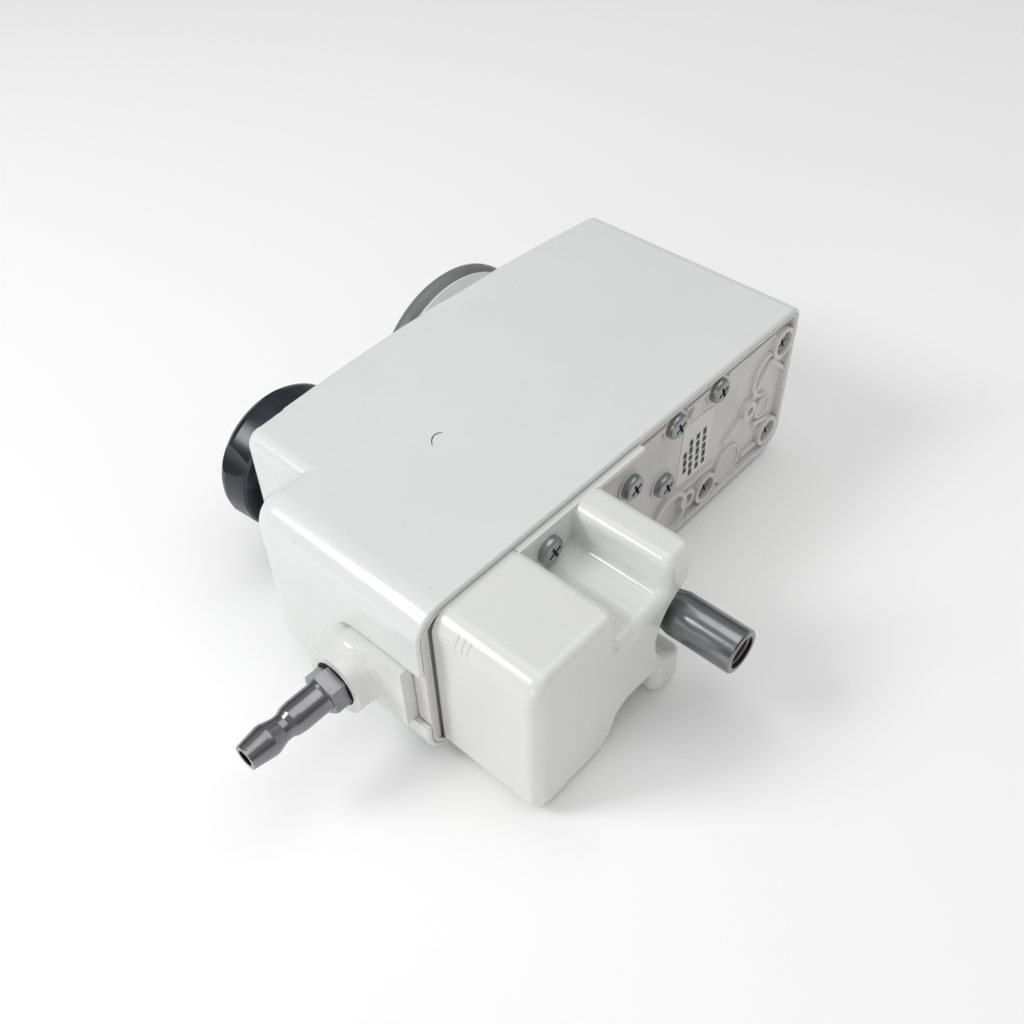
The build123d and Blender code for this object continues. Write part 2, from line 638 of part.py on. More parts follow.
def gauge_pointer():
    low = dial_y - 3.0
    hub = rod(gauge_x, 0, low - 0.4, low + 1.2, 2.4)
    tail, point, half_tip, half_hub = -8.0, 21.0, 0.35, 1.5
    upper = [(point, 0), (point - 1.0, half_tip), (0, half_hub), (tail, 1.2)]
    lower = [(tail, -1.2), (0, -half_hub), (point - 1.0, -half_tip)]
    needle = make_face(Polyline(*(upper + lower), close=True))
    needle = Pos(gauge_x, 0) * Rot(0, 0, 180 - zero_angle) * needle
    pointer = hub + prism(needle, low, low + 0.5)
    return pointer - rod(gauge_x, 0, low, low + 1.2, arbor_r)


def pinion_arbor():
    low = dial_y - 3.0
    arbor = rod(gauge_x, 0, low, plate_high_y + 0.9, arbor_r)
    face = gear_face(pinion_teeth, 0, pinion_teeth - 1, 0, 0.9 * gear_module, 1.1 * gear_module, 0)
    return arbor + prism(Pos(gauge_x, 0) * face, gear_y - 0.3, gear_y + gear_thick + 0.3)


def sector_gear():
    pitch_turn = 360.0 / sector_teeth
    first = -int((sector_swing + 6) / pitch_turn) - 1
    start = 180 - pitch_turn / 2
    face = gear_face(sector_teeth, first, 1, sector_r - 3.4, 0.7 * gear_module, 1.25 * gear_module, start)
    middle = start + (first + 1) / 2 * pitch_turn
    arm = Rot(0, 0, middle) * Pos((sector_r - 3.2) / 2, 0) * Rectangle(sector_r - 3.2, 3.4)
    hub = Circle(2.2)
    tail_turn = math.degrees(math.atan2(tail_dz, tail_dx))
    tail = Rot(0, 0, tail_turn) * Pos(tail_r / 2, 0) * Rectangle(tail_r, 1.8)
    tail = tail + Pos(tail_dx, tail_dz) * Circle(1.2)
    flat = Pos(gauge_x + sector_x, 0) * (face + arm + hub + tail)
    sector = prism(flat, gear_y, gear_y + gear_thick)
    sector = sector + rod(gauge_x + sector_x, 0, plate_low_y, plate_high_y + 0.9, arbor_r)
    return sector + rod(gauge_x + sector_x + tail_dx, tail_dz, gear_y, gear_y + gear_thick + 1.4, 0.5)


def sector_link():
    """Slotted link from the sector's tail to the pin on the tip of the pressure tube."""
    eye_x = gauge_x + sector_x + tail_dx
    travel = 2 * abs(tail_dz)
    slot_half = 0.5 + tail_r - tail_dx + 0.2
    slot_len = travel + 2 * slot_half
    place = Pos(tip_x + (tail_r - tail_dx) / 2, tip_z - travel / 2) * Rot(0, 0, 90)
    slot = place * SlotOverall(slot_len, 2 * slot_half)
    pad = place * SlotOverall(slot_len + 1.6, 2 * slot_half + 1.6)
    length = math.hypot(eye_x - tip_x, tail_dz - tip_z)
    turn = math.degrees(math.atan2(tail_dz - tip_z, eye_x - tip_x))
    bar = Pos((eye_x + tip_x) / 2, (tail_dz + tip_z) / 2) * Rot(0, 0, turn) * Rectangle(length, 1.4)
    flat = bar + pad + Pos(eye_x, tail_dz) * Circle(1.2)
    flat = flat - slot - Pos(eye_x, tail_dz) * Circle(0.5 + pivot_clearance)
    return prism(flat, gear_y + gear_thick + 0.2, gear_y + gear_thick + 1.0)


def movement_frame():
    """Two plates and three pillars that carry the pinion and the sector; an arm ties them to the socket."""
    centre_x = gauge_x + 9.5
    plate = Pos(centre_x, 0) * RectangleRounded(30.0, 9.6, 2.0)
    hole = Circle(arbor_r + pivot_clearance)
    holes = Pos(gauge_x, 0) * hole + Pos(gauge_x + sector_x, 0) * hole
    low = prism(plate - holes, plate_low_y - 1.0, plate_low_y)
    arm_turn = math.degrees(math.atan2(socket_z, socket_x - centre_x))
    reach = math.hypot(socket_x - centre_x, socket_z)
    arm = Pos((centre_x + socket_x) / 2, socket_z / 2) * Rot(0, 0, arm_turn) * Rectangle(reach, 5.0)
    high = prism(plate + arm - holes, plate_high_y, plate_high_y + 1.0)
    frame = low + high
    for x, z in ((gauge_x - 4.0, 3.2), (gauge_x - 4.0, -3.2), (gauge_x + 23.0, 3.0)):
        frame = frame + rod(x, z, plate_low_y - 1.0, plate_high_y + 1.0, 1.1)
    return frame


def arc_bar(angle_low, angle_high, r_low, r_high, y_low, y_high):
    """Part of a flat ring about the gauge's axis; angles in degrees from +X towards +Z."""
    middle = (angle_low + angle_high) / 2
    half = (angle_high - angle_low) / 2
    face = make_face(Polyline((r_low, y_low), (r_high, y_low), (r_high, y_high), (r_low, y_high), close=True))
    bar = revolve(face, Axis.Y, revolution_arc=angle_high - angle_low)
    return Pos(gauge_x, 0, 0) * Rot(0, -(middle - half), 0) * Rot(0, -(angle_high - angle_low), 0) * bar


def bourdon_tube():
    start = socket_angle + 8.0
    end = 305.0
    low = bourdon_r - bourdon_thick / 2
    high = bourdon_r + bourdon_thick / 2
    top = tube_low_y + bourdon_width
    tube = arc_bar(start, end, low, high, tube_low_y, top)
    tube = tube - arc_bar(start - 1.0, end - 6.0, low + 0.4, high - 0.4, tube_low_y + 0.4, top - 0.4)
    end_x = gauge_x + bourdon_r * math.cos(math.radians(end - 3))
    end_z = bourdon_r * math.sin(math.radians(end - 3))
    turn = math.degrees(math.atan2(tip_z - end_z, tip_x - end_x))
    reach = math.hypot(tip_x - end_x, tip_z - end_z)
    arm = Pos((end_x + tip_x) / 2, (end_z + tip_z) / 2) * Rot(0, 0, turn) * SlotOverall(reach + 2.0, 2.0)
    arm_y = gear_y + gear_thick + 1.2
    tube = tube + prism(arm, arm_y, arm_y + 0.8)
    return tube + rod(tip_x, tip_z, gear_y + gear_thick, arm_y + 0.8, 0.5)


def gauge_socket():
    """Brass block that feeds the pressure tube, with a stem out of the back of the case."""
    foot = arc_bar(socket_angle - 8.0, socket_angle + 8.0, bourdon_r - 2.6, bourdon_r + 2.6,
                   tube_low_y, plate_high_y)
    foot = foot + arc_bar(socket_angle - 4.0, socket_angle + 8.0, bourdon_r - 2.0, bourdon_r + 2.6,
                          plate_high_y, case_rear_y - case_wall)
    foot = foot - movement_frame()
    stem = rod(socket_x, socket_z, case_rear_y - 4.0, case_rear_y + 8.0, 3.0)
    socket = foot + stem
    bore = rod(socket_x, socket_z, tube_low_y + 2.0, case_rear_y + 9.0, 1.2)
    return socket - bore


hose_y = 37.5


def gauge_hose():
    path = FilletPolyline((socket_x, case_rear_y + 3.0, socket_z), (socket_x, hose_y, socket_z),
                          (block_low_x - 2.0, hose_y, socket_z), radius=5.0)
    start = Plane(origin=path @ 0, z_dir=path % 0)
    return sweep(start * (Circle(4.4) - Circle(3.0)), path=path)


def gauge_barb():
    barb = cross_rod(hose_y, socket_z, block_low_x - 7.0, block_low_x + 4.0, 3.0)
    return barb - cross_rod(hose_y, socket_z, block_low_x - 8.0, block_low_x + 5.0, 1.2)


# ---------------------------------------------------------------- knob and regulating module
knob_front_y = knob_back_y - knob_depth
collar_y = 6.6
neck_front_y = knob_pad_y - 4.0
nut_y = 11.0
plate_y = diaphragm_y - 2.5
groove_y = neck_front_y - 1.3
groove_r = spindle_r - 0.7
groove_width = 0.9


def control_knob():
    back, front = knob_back_y, knob_front_y
    profile = [(0, back), (knob_r - 1.6, back), (knob_r - 0.9, back - 1.0), (knob_r, front + 4.2),
               (knob_r - 0.3, front + 2.6), (knob_r - 1.1, front + 1.2), (knob_r - 2.4, front + 0.3),
               (knob_r - 4.4, front), (0, front)]
    knob = turned(profile, knob_x, 0)
    flute_reach = knob_r + flute_r - flute_depth
    for index in range(knob_lobes):
        turn = math.radians(360.0 / knob_lobes * (index + 0.5))
        flute_x = knob_x + flute_reach * math.cos(turn)
        flute_z = flute_reach * math.sin(turn)
        knob = knob - rod(flute_x, flute_z, front - 1.0, back + 1.0, flute_r)
    knob = knob - rod(knob_x, 0, neck_front_y - 1.8, back + 1.0, 13.5)
    knob = knob - rod(knob_x, 0, front + 3.0, back + 1.0, spindle_r)
    return knob - rod(knob_x, 0, front - 1.0, front + 1.2, cap_r)


cap_r = 11.0


def knob_cap():
    return rod(knob_x, 0, knob_front_y - 0.2, knob_front_y + 1.2, cap_r)


def knob_spindle():
    spindle = rod(knob_x, 0, knob_front_y + 3.0, plate_y - 4.5, spindle_r)
    spindle = spindle + rod(knob_x, 0, collar_y, collar_y + 2.0, bonnet_neck_r - 0.5)
    groove = rod(knob_x, 0, groove_y, groove_y + groove_width, spindle_r)
    return spindle - (groove - rod(knob_x, 0, groove_y, groove_y + groove_width, groove_r))


def spindle_clip():
    clip = rod(knob_x, 0, groove_y, groove_y + groove_width, spindle_r + 1.8)
    clip = clip - rod(knob_x, 0, groove_y, groove_y + groove_width, groove_r)
    return clip - block(knob_x, knob_x + 10.0, groove_y - 1.0, groove_y + 2.0, -2.0, 2.0)


def panel_nut():
    hexagon = RegularPolygon(12.5, 6)
    nut = prism(Pos(knob_x, 0) * hexagon, knob_pad_y - 2.8, knob_pad_y)
    return nut - rod(knob_x, 0, knob_pad_y - 4.0, knob_pad_y + 1.0, bonnet_neck_r)


def bonnet():
    inner_r = bonnet_r - bonnet_wall
    top_y = collar_y - 2.5
    profile = [(spindle_r + pivot_clearance, neck_front_y), (bonnet_neck_r, neck_front_y),
               (bonnet_neck_r, top_y),
               (bonnet_r - 3.0, top_y), (bonnet_r, top_y + 3.0), (bonnet_r, diaphragm_y - 3.0),
               (bonnet_flange_r, diaphragm_y - 3.0), (bonnet_flange_r, diaphragm_y), (inner_r, diaphragm_y),
               (inner_r, collar_y - 0.05), (spindle_r + pivot_clearance, collar_y - 0.05)]
    body = turned(profile, knob_x, 0)
    for side in (1, -1):
        key_low = knob_x + side * inner_r - 1.5
        body = body + block(key_low, key_low + 3.0, collar_y + 3.0, plate_y, -1.5, 1.5)
    for x, z in bonnet_screw_places():
        body = body - rod(x, z, diaphragm_y - 4.0, diaphragm_y + 1.0, bonnet_screw_r + 0.1)
    return body


def bonnet_screw_places():
    """Four screws round the bonnet's flange."""
    reach = (bonnet_r + bonnet_flange_r) / 2
    turns = [math.radians(angle) for angle in (45, 135, 225, 315)]
    return [(knob_x + reach * math.cos(turn), reach * math.sin(turn)) for turn in turns]


def bonnet_screws():
    screws = []
    for x, z in bonnet_screw_places():
        head = rod(x, z, diaphragm_y - 5.0, diaphragm_y - 3.0, 1.8)
        screws.append(head + rod(x, z, diaphragm_y - 3.0, diaphragm_y + 8.0, bonnet_screw_r))
    return Compound(children=screws)


def spring_plate():
    inner_r = bonnet_r - bonnet_wall
    disc = rod(knob_x, 0, nut_y, nut_y + 3.0, inner_r - 0.4) + rod(knob_x, 0, nut_y, nut_y + 6.0, 7.0)
    for side in (1, -1):
        key_low = knob_x + side * inner_r - 1.8
        disc = disc - block(key_low, key_low + 3.6, nut_y - 1.0, nut_y + 4.0, -1.8, 1.8)
    return disc - rod(knob_x, 0, nut_y - 1.0, nut_y + 7.0, spindle_r + pivot_clearance)


def coil(radius, wire_r, y_low, y_high, turns):
    """Compression spring along Y."""
    height = y_high - y_low - 2 * wire_r
    path = Helix(pitch=height / turns, height=height, radius=radius)
    start = Plane(origin=path @ 0, z_dir=path % 0)
    wire = sweep(start * Circle(wire_r), path=path)
    return Pos(knob_x, y_low + wire_r, 0) * Rot(-90, 0, 0) * wire


def range_spring():
    return coil(spring_r, spring_wire_r, nut_y + 3.1, plate_y - 0.1, 4.5)


def diaphragm():
    disc = rod(knob_x, 0, diaphragm_y, diaphragm_y + diaphragm_thick, bonnet_flange_r)
    disc = disc - rod(knob_x, 0, diaphragm_y - 1.0, diaphragm_y + 2.0, stem_r)
    for x, z in bonnet_screw_places():
        disc = disc - rod(x, z, diaphragm_y - 1.0, diaphragm_y + 2.0, bonnet_screw_r)
    return disc


def diaphragm_plate():
    return rod(knob_x, 0, plate_y, diaphragm_y - 0.05, 12.0)


def regulator_body():
    body = block(block_low_x, block_high_x, block_front_y, block_back_y, -block_half, block_half)
    body = fillet(body.edges().filter_by(Axis.Y), 4.0)
    body = body + rod(knob_x, 0, block_front_y, block_front_y + 9.0, bonnet_flange_r)
    body = body - rod(knob_x, 0, block_front_y, block_front_y + chamber_depth, chamber_r)
    body = body - rod(knob_x, 0, block_front_y, block_back_y, seat_bore_r)
    body = body + (rod(knob_x, 0, block_front_y + chamber_depth, seat_y, seat_bore_r)
                   - rod(knob_x, 0, block_front_y, seat_y, valve_hole_r))
    # inlet: down the tube's bore, then across to the valve
    body = body - rod(tube_x, 0, block_back_y - 11.0, block_back_y, tube_neck_r)
    body = body - rod(tube_x, 0, block_axis_y, block_back_y, passage_r)
    body = body - cross_rod(block_axis_y, 0, tube_x - passage_r, knob_x, passage_r)
    # outlet: from the chamber back to the hose side
    outlet_x = knob_x + chamber_r - 5.5
    body = body - rod(outlet_x, nipple_z, block_front_y, nipple_y, nipple_bore_r)
    body = body - cross_rod(nipple_y, nipple_z, outlet_x, block_high_x, nipple_bore_r)
    # gauge line
    body = body - cross_rod(hose_y, socket_z, block_low_x, knob_x, 1.2)
    body = body - cross_rod(hose_y, socket_z, block_low_x, block_low_x + 4.0, 3.0)
    # core of the thick end, open to the front
    core = block(block_low_x + 4.0, knob_x - bonnet_flange_r - 3.5, block_front_y, block_axis_y - 6.0,
                 -block_half + 4.0, socket_z - 4.5)
    body = body - core
    for x, z in bonnet_screw_places():
        body = body - rod(x, z, block_front_y, diaphragm_y + 8.0, bonnet_screw_r)
    for x, z in body_screw_places:
        body = body - rod(x, z, block_back_y - 8.0, block_back_y, screw_r)
    return body


body_screw_places = [(105.5, 16.0), (158.0, -16.0)]


def body_screws():
    tip_y = block_back_y - 8.0
    return Compound(children=[pan_screw(x, z, bracket_back_y, 3.4, tip_y) for x, z in body_screw_places])


def valve_seat():
    seat = rod(knob_x, 0, seat_y, seat_y + seat_thick, seat_bore_r)
    return seat - rod(knob_x, 0, seat_y, seat_y + seat_thick, valve_hole_r)


def valve_poppet():
    stem = rod(knob_x, 0, diaphragm_y - 0.05, valve_rest_y, stem_r)
    return stem + rod(knob_x, 0, valve_rest_y, valve_rest_y + 3.0, 5.4)


def valve_plug():
    front_y = block_back_y - 6.0
    plug = rod(knob_x, 0, front_y, block_back_y, seat_bore_r)
    head = prism(Pos(knob_x, 0) * RegularPolygon(9.0, 6), block_back_y, block_back_y + 3.0)
    return plug + head


def poppet_spring():
    return coil(3.6, 0.35, valve_rest_y + 3.1 + valve_travel, block_back_y - 6.1, 5.0)


def mount_bracket():
    plate = Pos((38.0 + block_high_x) / 2, 0) * RectangleRounded(block_high_x - 38.0, 54.0, 4.0)
    plate = plate - Pos(46.5, -21.6) * Circle(post_r + 1.0)
    plate = plate - Pos(tube_x, 0) * Circle(tube_neck_r + hole_clearance)
    plate = plate - Pos(knob_x, 0) * Circle(9.6)
    for x, z in chassis_pan_screws + adapter_pan_screws + body_screw_places:
        plate = plate - Pos(x, z) * Circle(screw_r)
    return prism(plate, block_back_y, bracket_back_y)


# ---------------------------------------------------------------- screws seen from behind
def chassis_screws():
    seat = rear_face_y + screw_pad
    tip_y = block_back_y - 1.0
    return Compound(children=[pan_screw(x, z, seat, pan_head_r, tip_y) for x, z in chassis_pan_screws])


def cover_screws():
    seat = ledge_y + well_floor
    tip_y = ledge_y - 14.0
    return Compound(children=[pan_screw(x, z, seat, well_head_r, tip_y) for x, z in cover_well_screws])


def adapter_screws():
    seat = adapter_base_y + pocket_floor
    tip_y = block_back_y + 0.2
    return Compound(children=[pan_screw(x, z, seat, pan_head_r, tip_y) for x, z in adapter_pan_screws])


# ---------------------------------------------------------------- write the parts
nodes = {
    "front_cover": front_cover, "rear_chassis": rear_chassis, "port_plugs": port_plugs,
    "rear_label": rear_label,
    "adapter_housing": adapter_housing, "inlet_tube": inlet_tube, "inlet_filter": inlet_filter,
    "hose_nipple": hose_nipple, "nipple_seal": nipple_seal, "nipple_holder": nipple_holder,
    "outlet_hose": outlet_hose, "gauge_bezel": gauge_bezel, "gauge_lens": gauge_lens,
    "gauge_case": gauge_case,
    "gauge_dial": gauge_dial, "gauge_pointer": gauge_pointer, "pinion_arbor": pinion_arbor,
    "sector_gear": sector_gear, "sector_link": sector_link, "movement_frame": movement_frame,
    "bourdon_tube": bourdon_tube, "gauge_socket": gauge_socket, "gauge_hose": gauge_hose,
    "gauge_barb": gauge_barb, "control_knob": control_knob, "knob_cap": knob_cap,
    "knob_spindle": knob_spindle,
    "spindle_clip": spindle_clip, "panel_nut": panel_nut, "bonnet": bonnet, "bonnet_screws": bonnet_screws,
    "spring_plate": spring_plate, "range_spring": range_spring, "diaphragm": diaphragm,
    "diaphragm_plate": diaphragm_plate, "regulator_body": regulator_body, "body_screws": body_screws,
    "valve_seat": valve_seat, "valve_poppet": valve_poppet, "valve_plug": valve_plug,
    "poppet_spring": poppet_spring, "mount_bracket": mount_bracket, "chassis_screws": chassis_screws,
    "cover_screws": cover_screws, "adapter_screws": adapter_screws,
}
origin = Pos(-nipple_tip_x / 2, -(tube_end_y + knob_front_y - 0.2) / 2, bezel_r)

for name, make in nodes.items():
    export_step(origin * make(), f"parts/{name}.step")
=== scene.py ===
# %% [markdown]
# # A wall vacuum regulator, lying on its side
# The regulator is a deep white moulded cover with a gauge and a knob at its front, a grey ribbed plate at its
# back, a white adapter block with a chrome inlet tube, and a barbed chrome nipple for the suction hose. The
# engineering model already has every part at its real size. This lesson gives each part its finish, and adds
# the small things that an engineering model leaves out: a screw thread, the print on the dial and the label.

# %% Load the frame
import json
import math

import bmesh
import bpy
import numpy as np
from mathutils import Matrix, Vector


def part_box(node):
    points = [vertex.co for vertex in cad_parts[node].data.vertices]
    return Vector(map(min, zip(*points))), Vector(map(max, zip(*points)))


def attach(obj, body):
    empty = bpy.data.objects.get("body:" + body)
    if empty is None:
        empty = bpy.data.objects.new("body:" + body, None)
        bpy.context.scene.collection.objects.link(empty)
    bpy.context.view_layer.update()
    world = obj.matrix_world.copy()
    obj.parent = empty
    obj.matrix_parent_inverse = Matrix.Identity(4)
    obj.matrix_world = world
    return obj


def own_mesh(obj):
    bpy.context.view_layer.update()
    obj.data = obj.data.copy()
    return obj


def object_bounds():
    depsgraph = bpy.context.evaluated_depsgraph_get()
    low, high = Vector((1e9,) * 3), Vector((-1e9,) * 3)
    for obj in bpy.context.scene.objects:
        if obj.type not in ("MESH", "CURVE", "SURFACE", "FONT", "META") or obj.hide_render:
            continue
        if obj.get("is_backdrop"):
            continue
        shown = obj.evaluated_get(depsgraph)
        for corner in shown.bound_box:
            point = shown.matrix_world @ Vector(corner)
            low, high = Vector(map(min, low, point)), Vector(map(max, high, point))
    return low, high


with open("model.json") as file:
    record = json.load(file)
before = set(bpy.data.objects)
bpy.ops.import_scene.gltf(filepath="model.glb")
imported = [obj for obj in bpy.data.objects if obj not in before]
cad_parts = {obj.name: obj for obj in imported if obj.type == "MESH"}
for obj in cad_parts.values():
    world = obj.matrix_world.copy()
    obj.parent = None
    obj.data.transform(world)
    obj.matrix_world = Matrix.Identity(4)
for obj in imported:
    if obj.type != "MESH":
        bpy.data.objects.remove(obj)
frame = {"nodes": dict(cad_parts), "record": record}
cad_box = [list(corner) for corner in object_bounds()]
parts = frame["nodes"]
mm = 0.001
print("parts in the frame:", len(parts))
print("size in mm:", [round((b - a) / mm, 1) for a, b in zip(*cad_box)])

# %% [markdown]
# ## Where things are
# Everything is placed from the boxes of the real parts, so that nothing has to be fitted by eye. Three lines
# are used again and again: the axis of the gauge, the axis of the knob and the axis of the inlet tube. All
# three run along Y, from the front of the regulator (low Y) to the wall (high Y).

# %% Axes and faces
def middle(node):
    """Centre of a part's box: half of its lowest corner plus its highest corner."""
    low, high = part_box(node)
    return (low + high) / 2


cover_low, cover_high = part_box("front_cover")
mid_z = middle("gauge_bezel").z
gauge_axis = middle("gauge_bezel")
knob_axis = middle("knob_cap")
tube_axis = middle("inlet_tube")
tube_mouth_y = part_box("inlet_tube")[1].y
dial_front_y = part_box("gauge_dial")[0].y
dial_radius = (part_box("gauge_dial")[1].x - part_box("gauge_dial")[0].x) / 2
print("gauge axis", [round(c / mm, 1) for c in gauge_axis], "dial radius", round(dial_radius / mm, 1))

# %% [markdown]
# ## The camera
# A camera is an object that looks along its own negative Z axis. Here it stands high up behind the regulator,
# at the hose end, and looks down over the adapter block. Two angles and a small roll give its direction. The
# lens shift slides the picture without turning the camera, as a view camera does. The Standard view transform
# keeps whites clean and edges crisp, which suits a white object on a white ground.

# %% Camera
azimuth, elevation, roll = math.radians(131.504), math.radians(45.302), -0.0073
back = Vector((math.sin(azimuth) * math.cos(elevation),
               -math.cos(azimuth) * math.cos(elevation), math.sin(elevation)))
level = (-back).cross(Vector((0, 0, 1))).normalized()
upright = level.cross(-back)
camera_x = level * math.cos(roll) + upright * math.sin(roll)
camera_y = upright * math.cos(roll) - level * math.sin(roll)
camera_data = bpy.data.cameras.new("camera")
camera_data.lens = 38.25
camera_data.sensor_width = 36.0
camera_data.shift_x = -0.02946
camera_data.shift_y = -0.01322
camera_data.clip_start = 0.01
camera_data.clip_end = 20.0
camera = bpy.data.objects.new("camera", camera_data)
camera.matrix_world = Matrix((camera_x, camera_y, back)).transposed().to_4x4()
rear_top_corner = Vector((cover_low.x, cover_high.y, mid_z))
camera.location = rear_top_corner + Vector((282.81, 133.83, 242.52)) * mm
bpy.context.scene.collection.objects.link(camera)
bpy.context.scene.camera = camera
bpy.context.scene.view_settings.view_transform = "Standard"
print("camera stands", round((camera.location - gauge_axis).length, 3), "m from the gauge")

# %% [markdown]
# ## The floor
# The regulator rests on the lower side of its gauge ring and on the lower rear edge of the adapter block. These
# two are not at the same height, so the real thing leans by a little over one degree. The frame keeps the regulator
# square, and the floor leans instead. A floor that curves up far away has no horizon line.

# %% Floor
rest_front = Vector((0, gauge_axis.y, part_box("gauge_bezel")[0].z))
adapter_low, adapter_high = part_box("adapter_housing")
rounding = 3.4 * mm             # how far the resting edge lies in front of the adapter's rear face
rest_back = Vector((0, adapter_high.y - rounding, adapter_low.z))
lean = (rest_back.z - rest_front.z) / (rest_back.y - rest_front.y)
grid = 41                       # points along each side of the floor
half_floor = 3.0
flat_part = 1.6                 # radius inside which the floor is flat
steps = np.linspace(-half_floor, half_floor, grid)
floor_x, floor_y = np.meshgrid(steps, steps)
distance = np.hypot(floor_x, floor_y)
floor_z = rest_front.z + lean * (floor_y - rest_front.y) - 0.2 * mm
floor_z = floor_z + 0.25 * np.clip(distance - flat_part, 0, None) ** 2


def grid_faces(rows, columns, wrap_rows=False, wrap_columns=False):
    """Quads between neighbouring points of a grid whose points are counted row by row."""
    row = np.arange(rows if wrap_rows else rows - 1)[:, None]
    column = np.arange(columns if wrap_columns else columns - 1)[None, :]
    next_row = (row + 1) % rows
    next_column = (column + 1) % columns
    corners = [row * columns + column, row * columns + next_column,
               next_row * columns + next_column, next_row * columns + column]
    return np.stack(np.broadcast_arrays(*corners), axis=-1).reshape(-1, 4)


def make_piece(name, points, faces, smooth=True):
    """Mesh object from an array of points and a list of faces, with its normals turned outwards."""
    mesh = bpy.data.meshes.new(name)
    mesh.from_pydata(np.reshape(points, (-1, 3)).tolist(), [], [list(map(int, f)) for f in faces])
    work = bmesh.new()
    work.from_mesh(mesh)
    bmesh.ops.remove_doubles(work, verts=work.verts, dist=1e-7)
    bmesh.ops.recalc_face_normals(work, faces=work.faces)
    work.to_mesh(mesh)
    work.free()
    mesh.polygons.foreach_set("use_smooth", [smooth] * len(mesh.polygons))
    piece = bpy.data.objects.new(name, mesh)
    bpy.context.scene.collection.objects.link(piece)
    print(name, "faces:", len(mesh.polygons))
    return piece


floor_points = np.stack([floor_x, floor_y, floor_z], axis=-1)
floor = make_piece("floor", floor_points, grid_faces(grid, grid)[:, ::-1])
if floor.data.polygons[0].normal.z < 0:
    floor.data.flip_normals()
floor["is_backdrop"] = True
print("floor leans", round(math.degrees(math.atan(lean)), 2), "degrees")

# %% [markdown]
# ## The light
# White gloss plastic shows its shape only through soft shading and thin highlights on its rounded edges. A
# large bright room gives the first, and one window-sized lamp on the far side gives the second. A lamp's place
# is a direction from the middle of the regulator and a distance, and it is turned to face the middle.

# %% Lights
centre = (Vector(cad_box[0]) + Vector(cad_box[1])) / 2


def soft_lamp(name, direction, away, width, height, watts):
    """Rectangular lamp at centre + direction * away that faces the centre."""
    lamp = bpy.data.lights.new(name, "AREA")
    lamp.shape = "RECTANGLE"
    lamp.size = width
    lamp.size_y = height
    lamp.energy = watts
    holder = bpy.data.objects.new(name, lamp)
    direction = Vector(direction).normalized()
    holder.location = centre + direction * away
    holder.rotation_euler = direction.to_track_quat("Z", "Y").to_euler()
    bpy.context.scene.collection.objects.link(holder)
    return holder


soft_lamp("window", (0.62, -0.47, 0.66), 1.1, 0.30, 0.44, 5.0)
soft_lamp("ceiling", (-0.15, 0.1, 1.0), 1.7, 1.6, 1.6, 10.5)
soft_lamp("side_fill", (1.0, 0.42, 0.3), 1.6, 0.9, 0.6, 3.2)

world = bpy.data.worlds.new("room")
world.use_nodes = True
bpy.context.scene.world = world
room = world.node_tree
direction_node = room.nodes.new("ShaderNodeTexCoord")
split = room.nodes.new("ShaderNodeSeparateXYZ")
fade = room.nodes.new("ShaderNodeValToRGB")
room.links.new(direction_node.outputs["Generated"], split.inputs[0])
room.links.new(split.outputs["Z"], fade.inputs[0])
fade.color_ramp.elements[0].position = 0.1
fade.color_ramp.elements[0].color = (0.2, 0.2, 0.21, 1)
fade.color_ramp.elements[1].position = 0.62
fade.color_ramp.elements[1].color = (1.0, 1.0, 1.0, 1)
room.links.new(fade.outputs[0], room.nodes["Background"].inputs["Color"])
room.nodes["Background"].inputs["Strength"].default_value = 0.43

# %% [markdown]
# ## Mixing finishes
# A finish is a small recipe of nodes around one shader. Every recipe here uses the same few steps, so they are
# the methods of one class: a cloudy pattern, a pattern of cells, a band that picks a range of values, a blend
# of two colours and a relief. All patterns read Object coordinates, which are metres in the frame, so a scale of
# 1000 gives patches of about one millimetre.

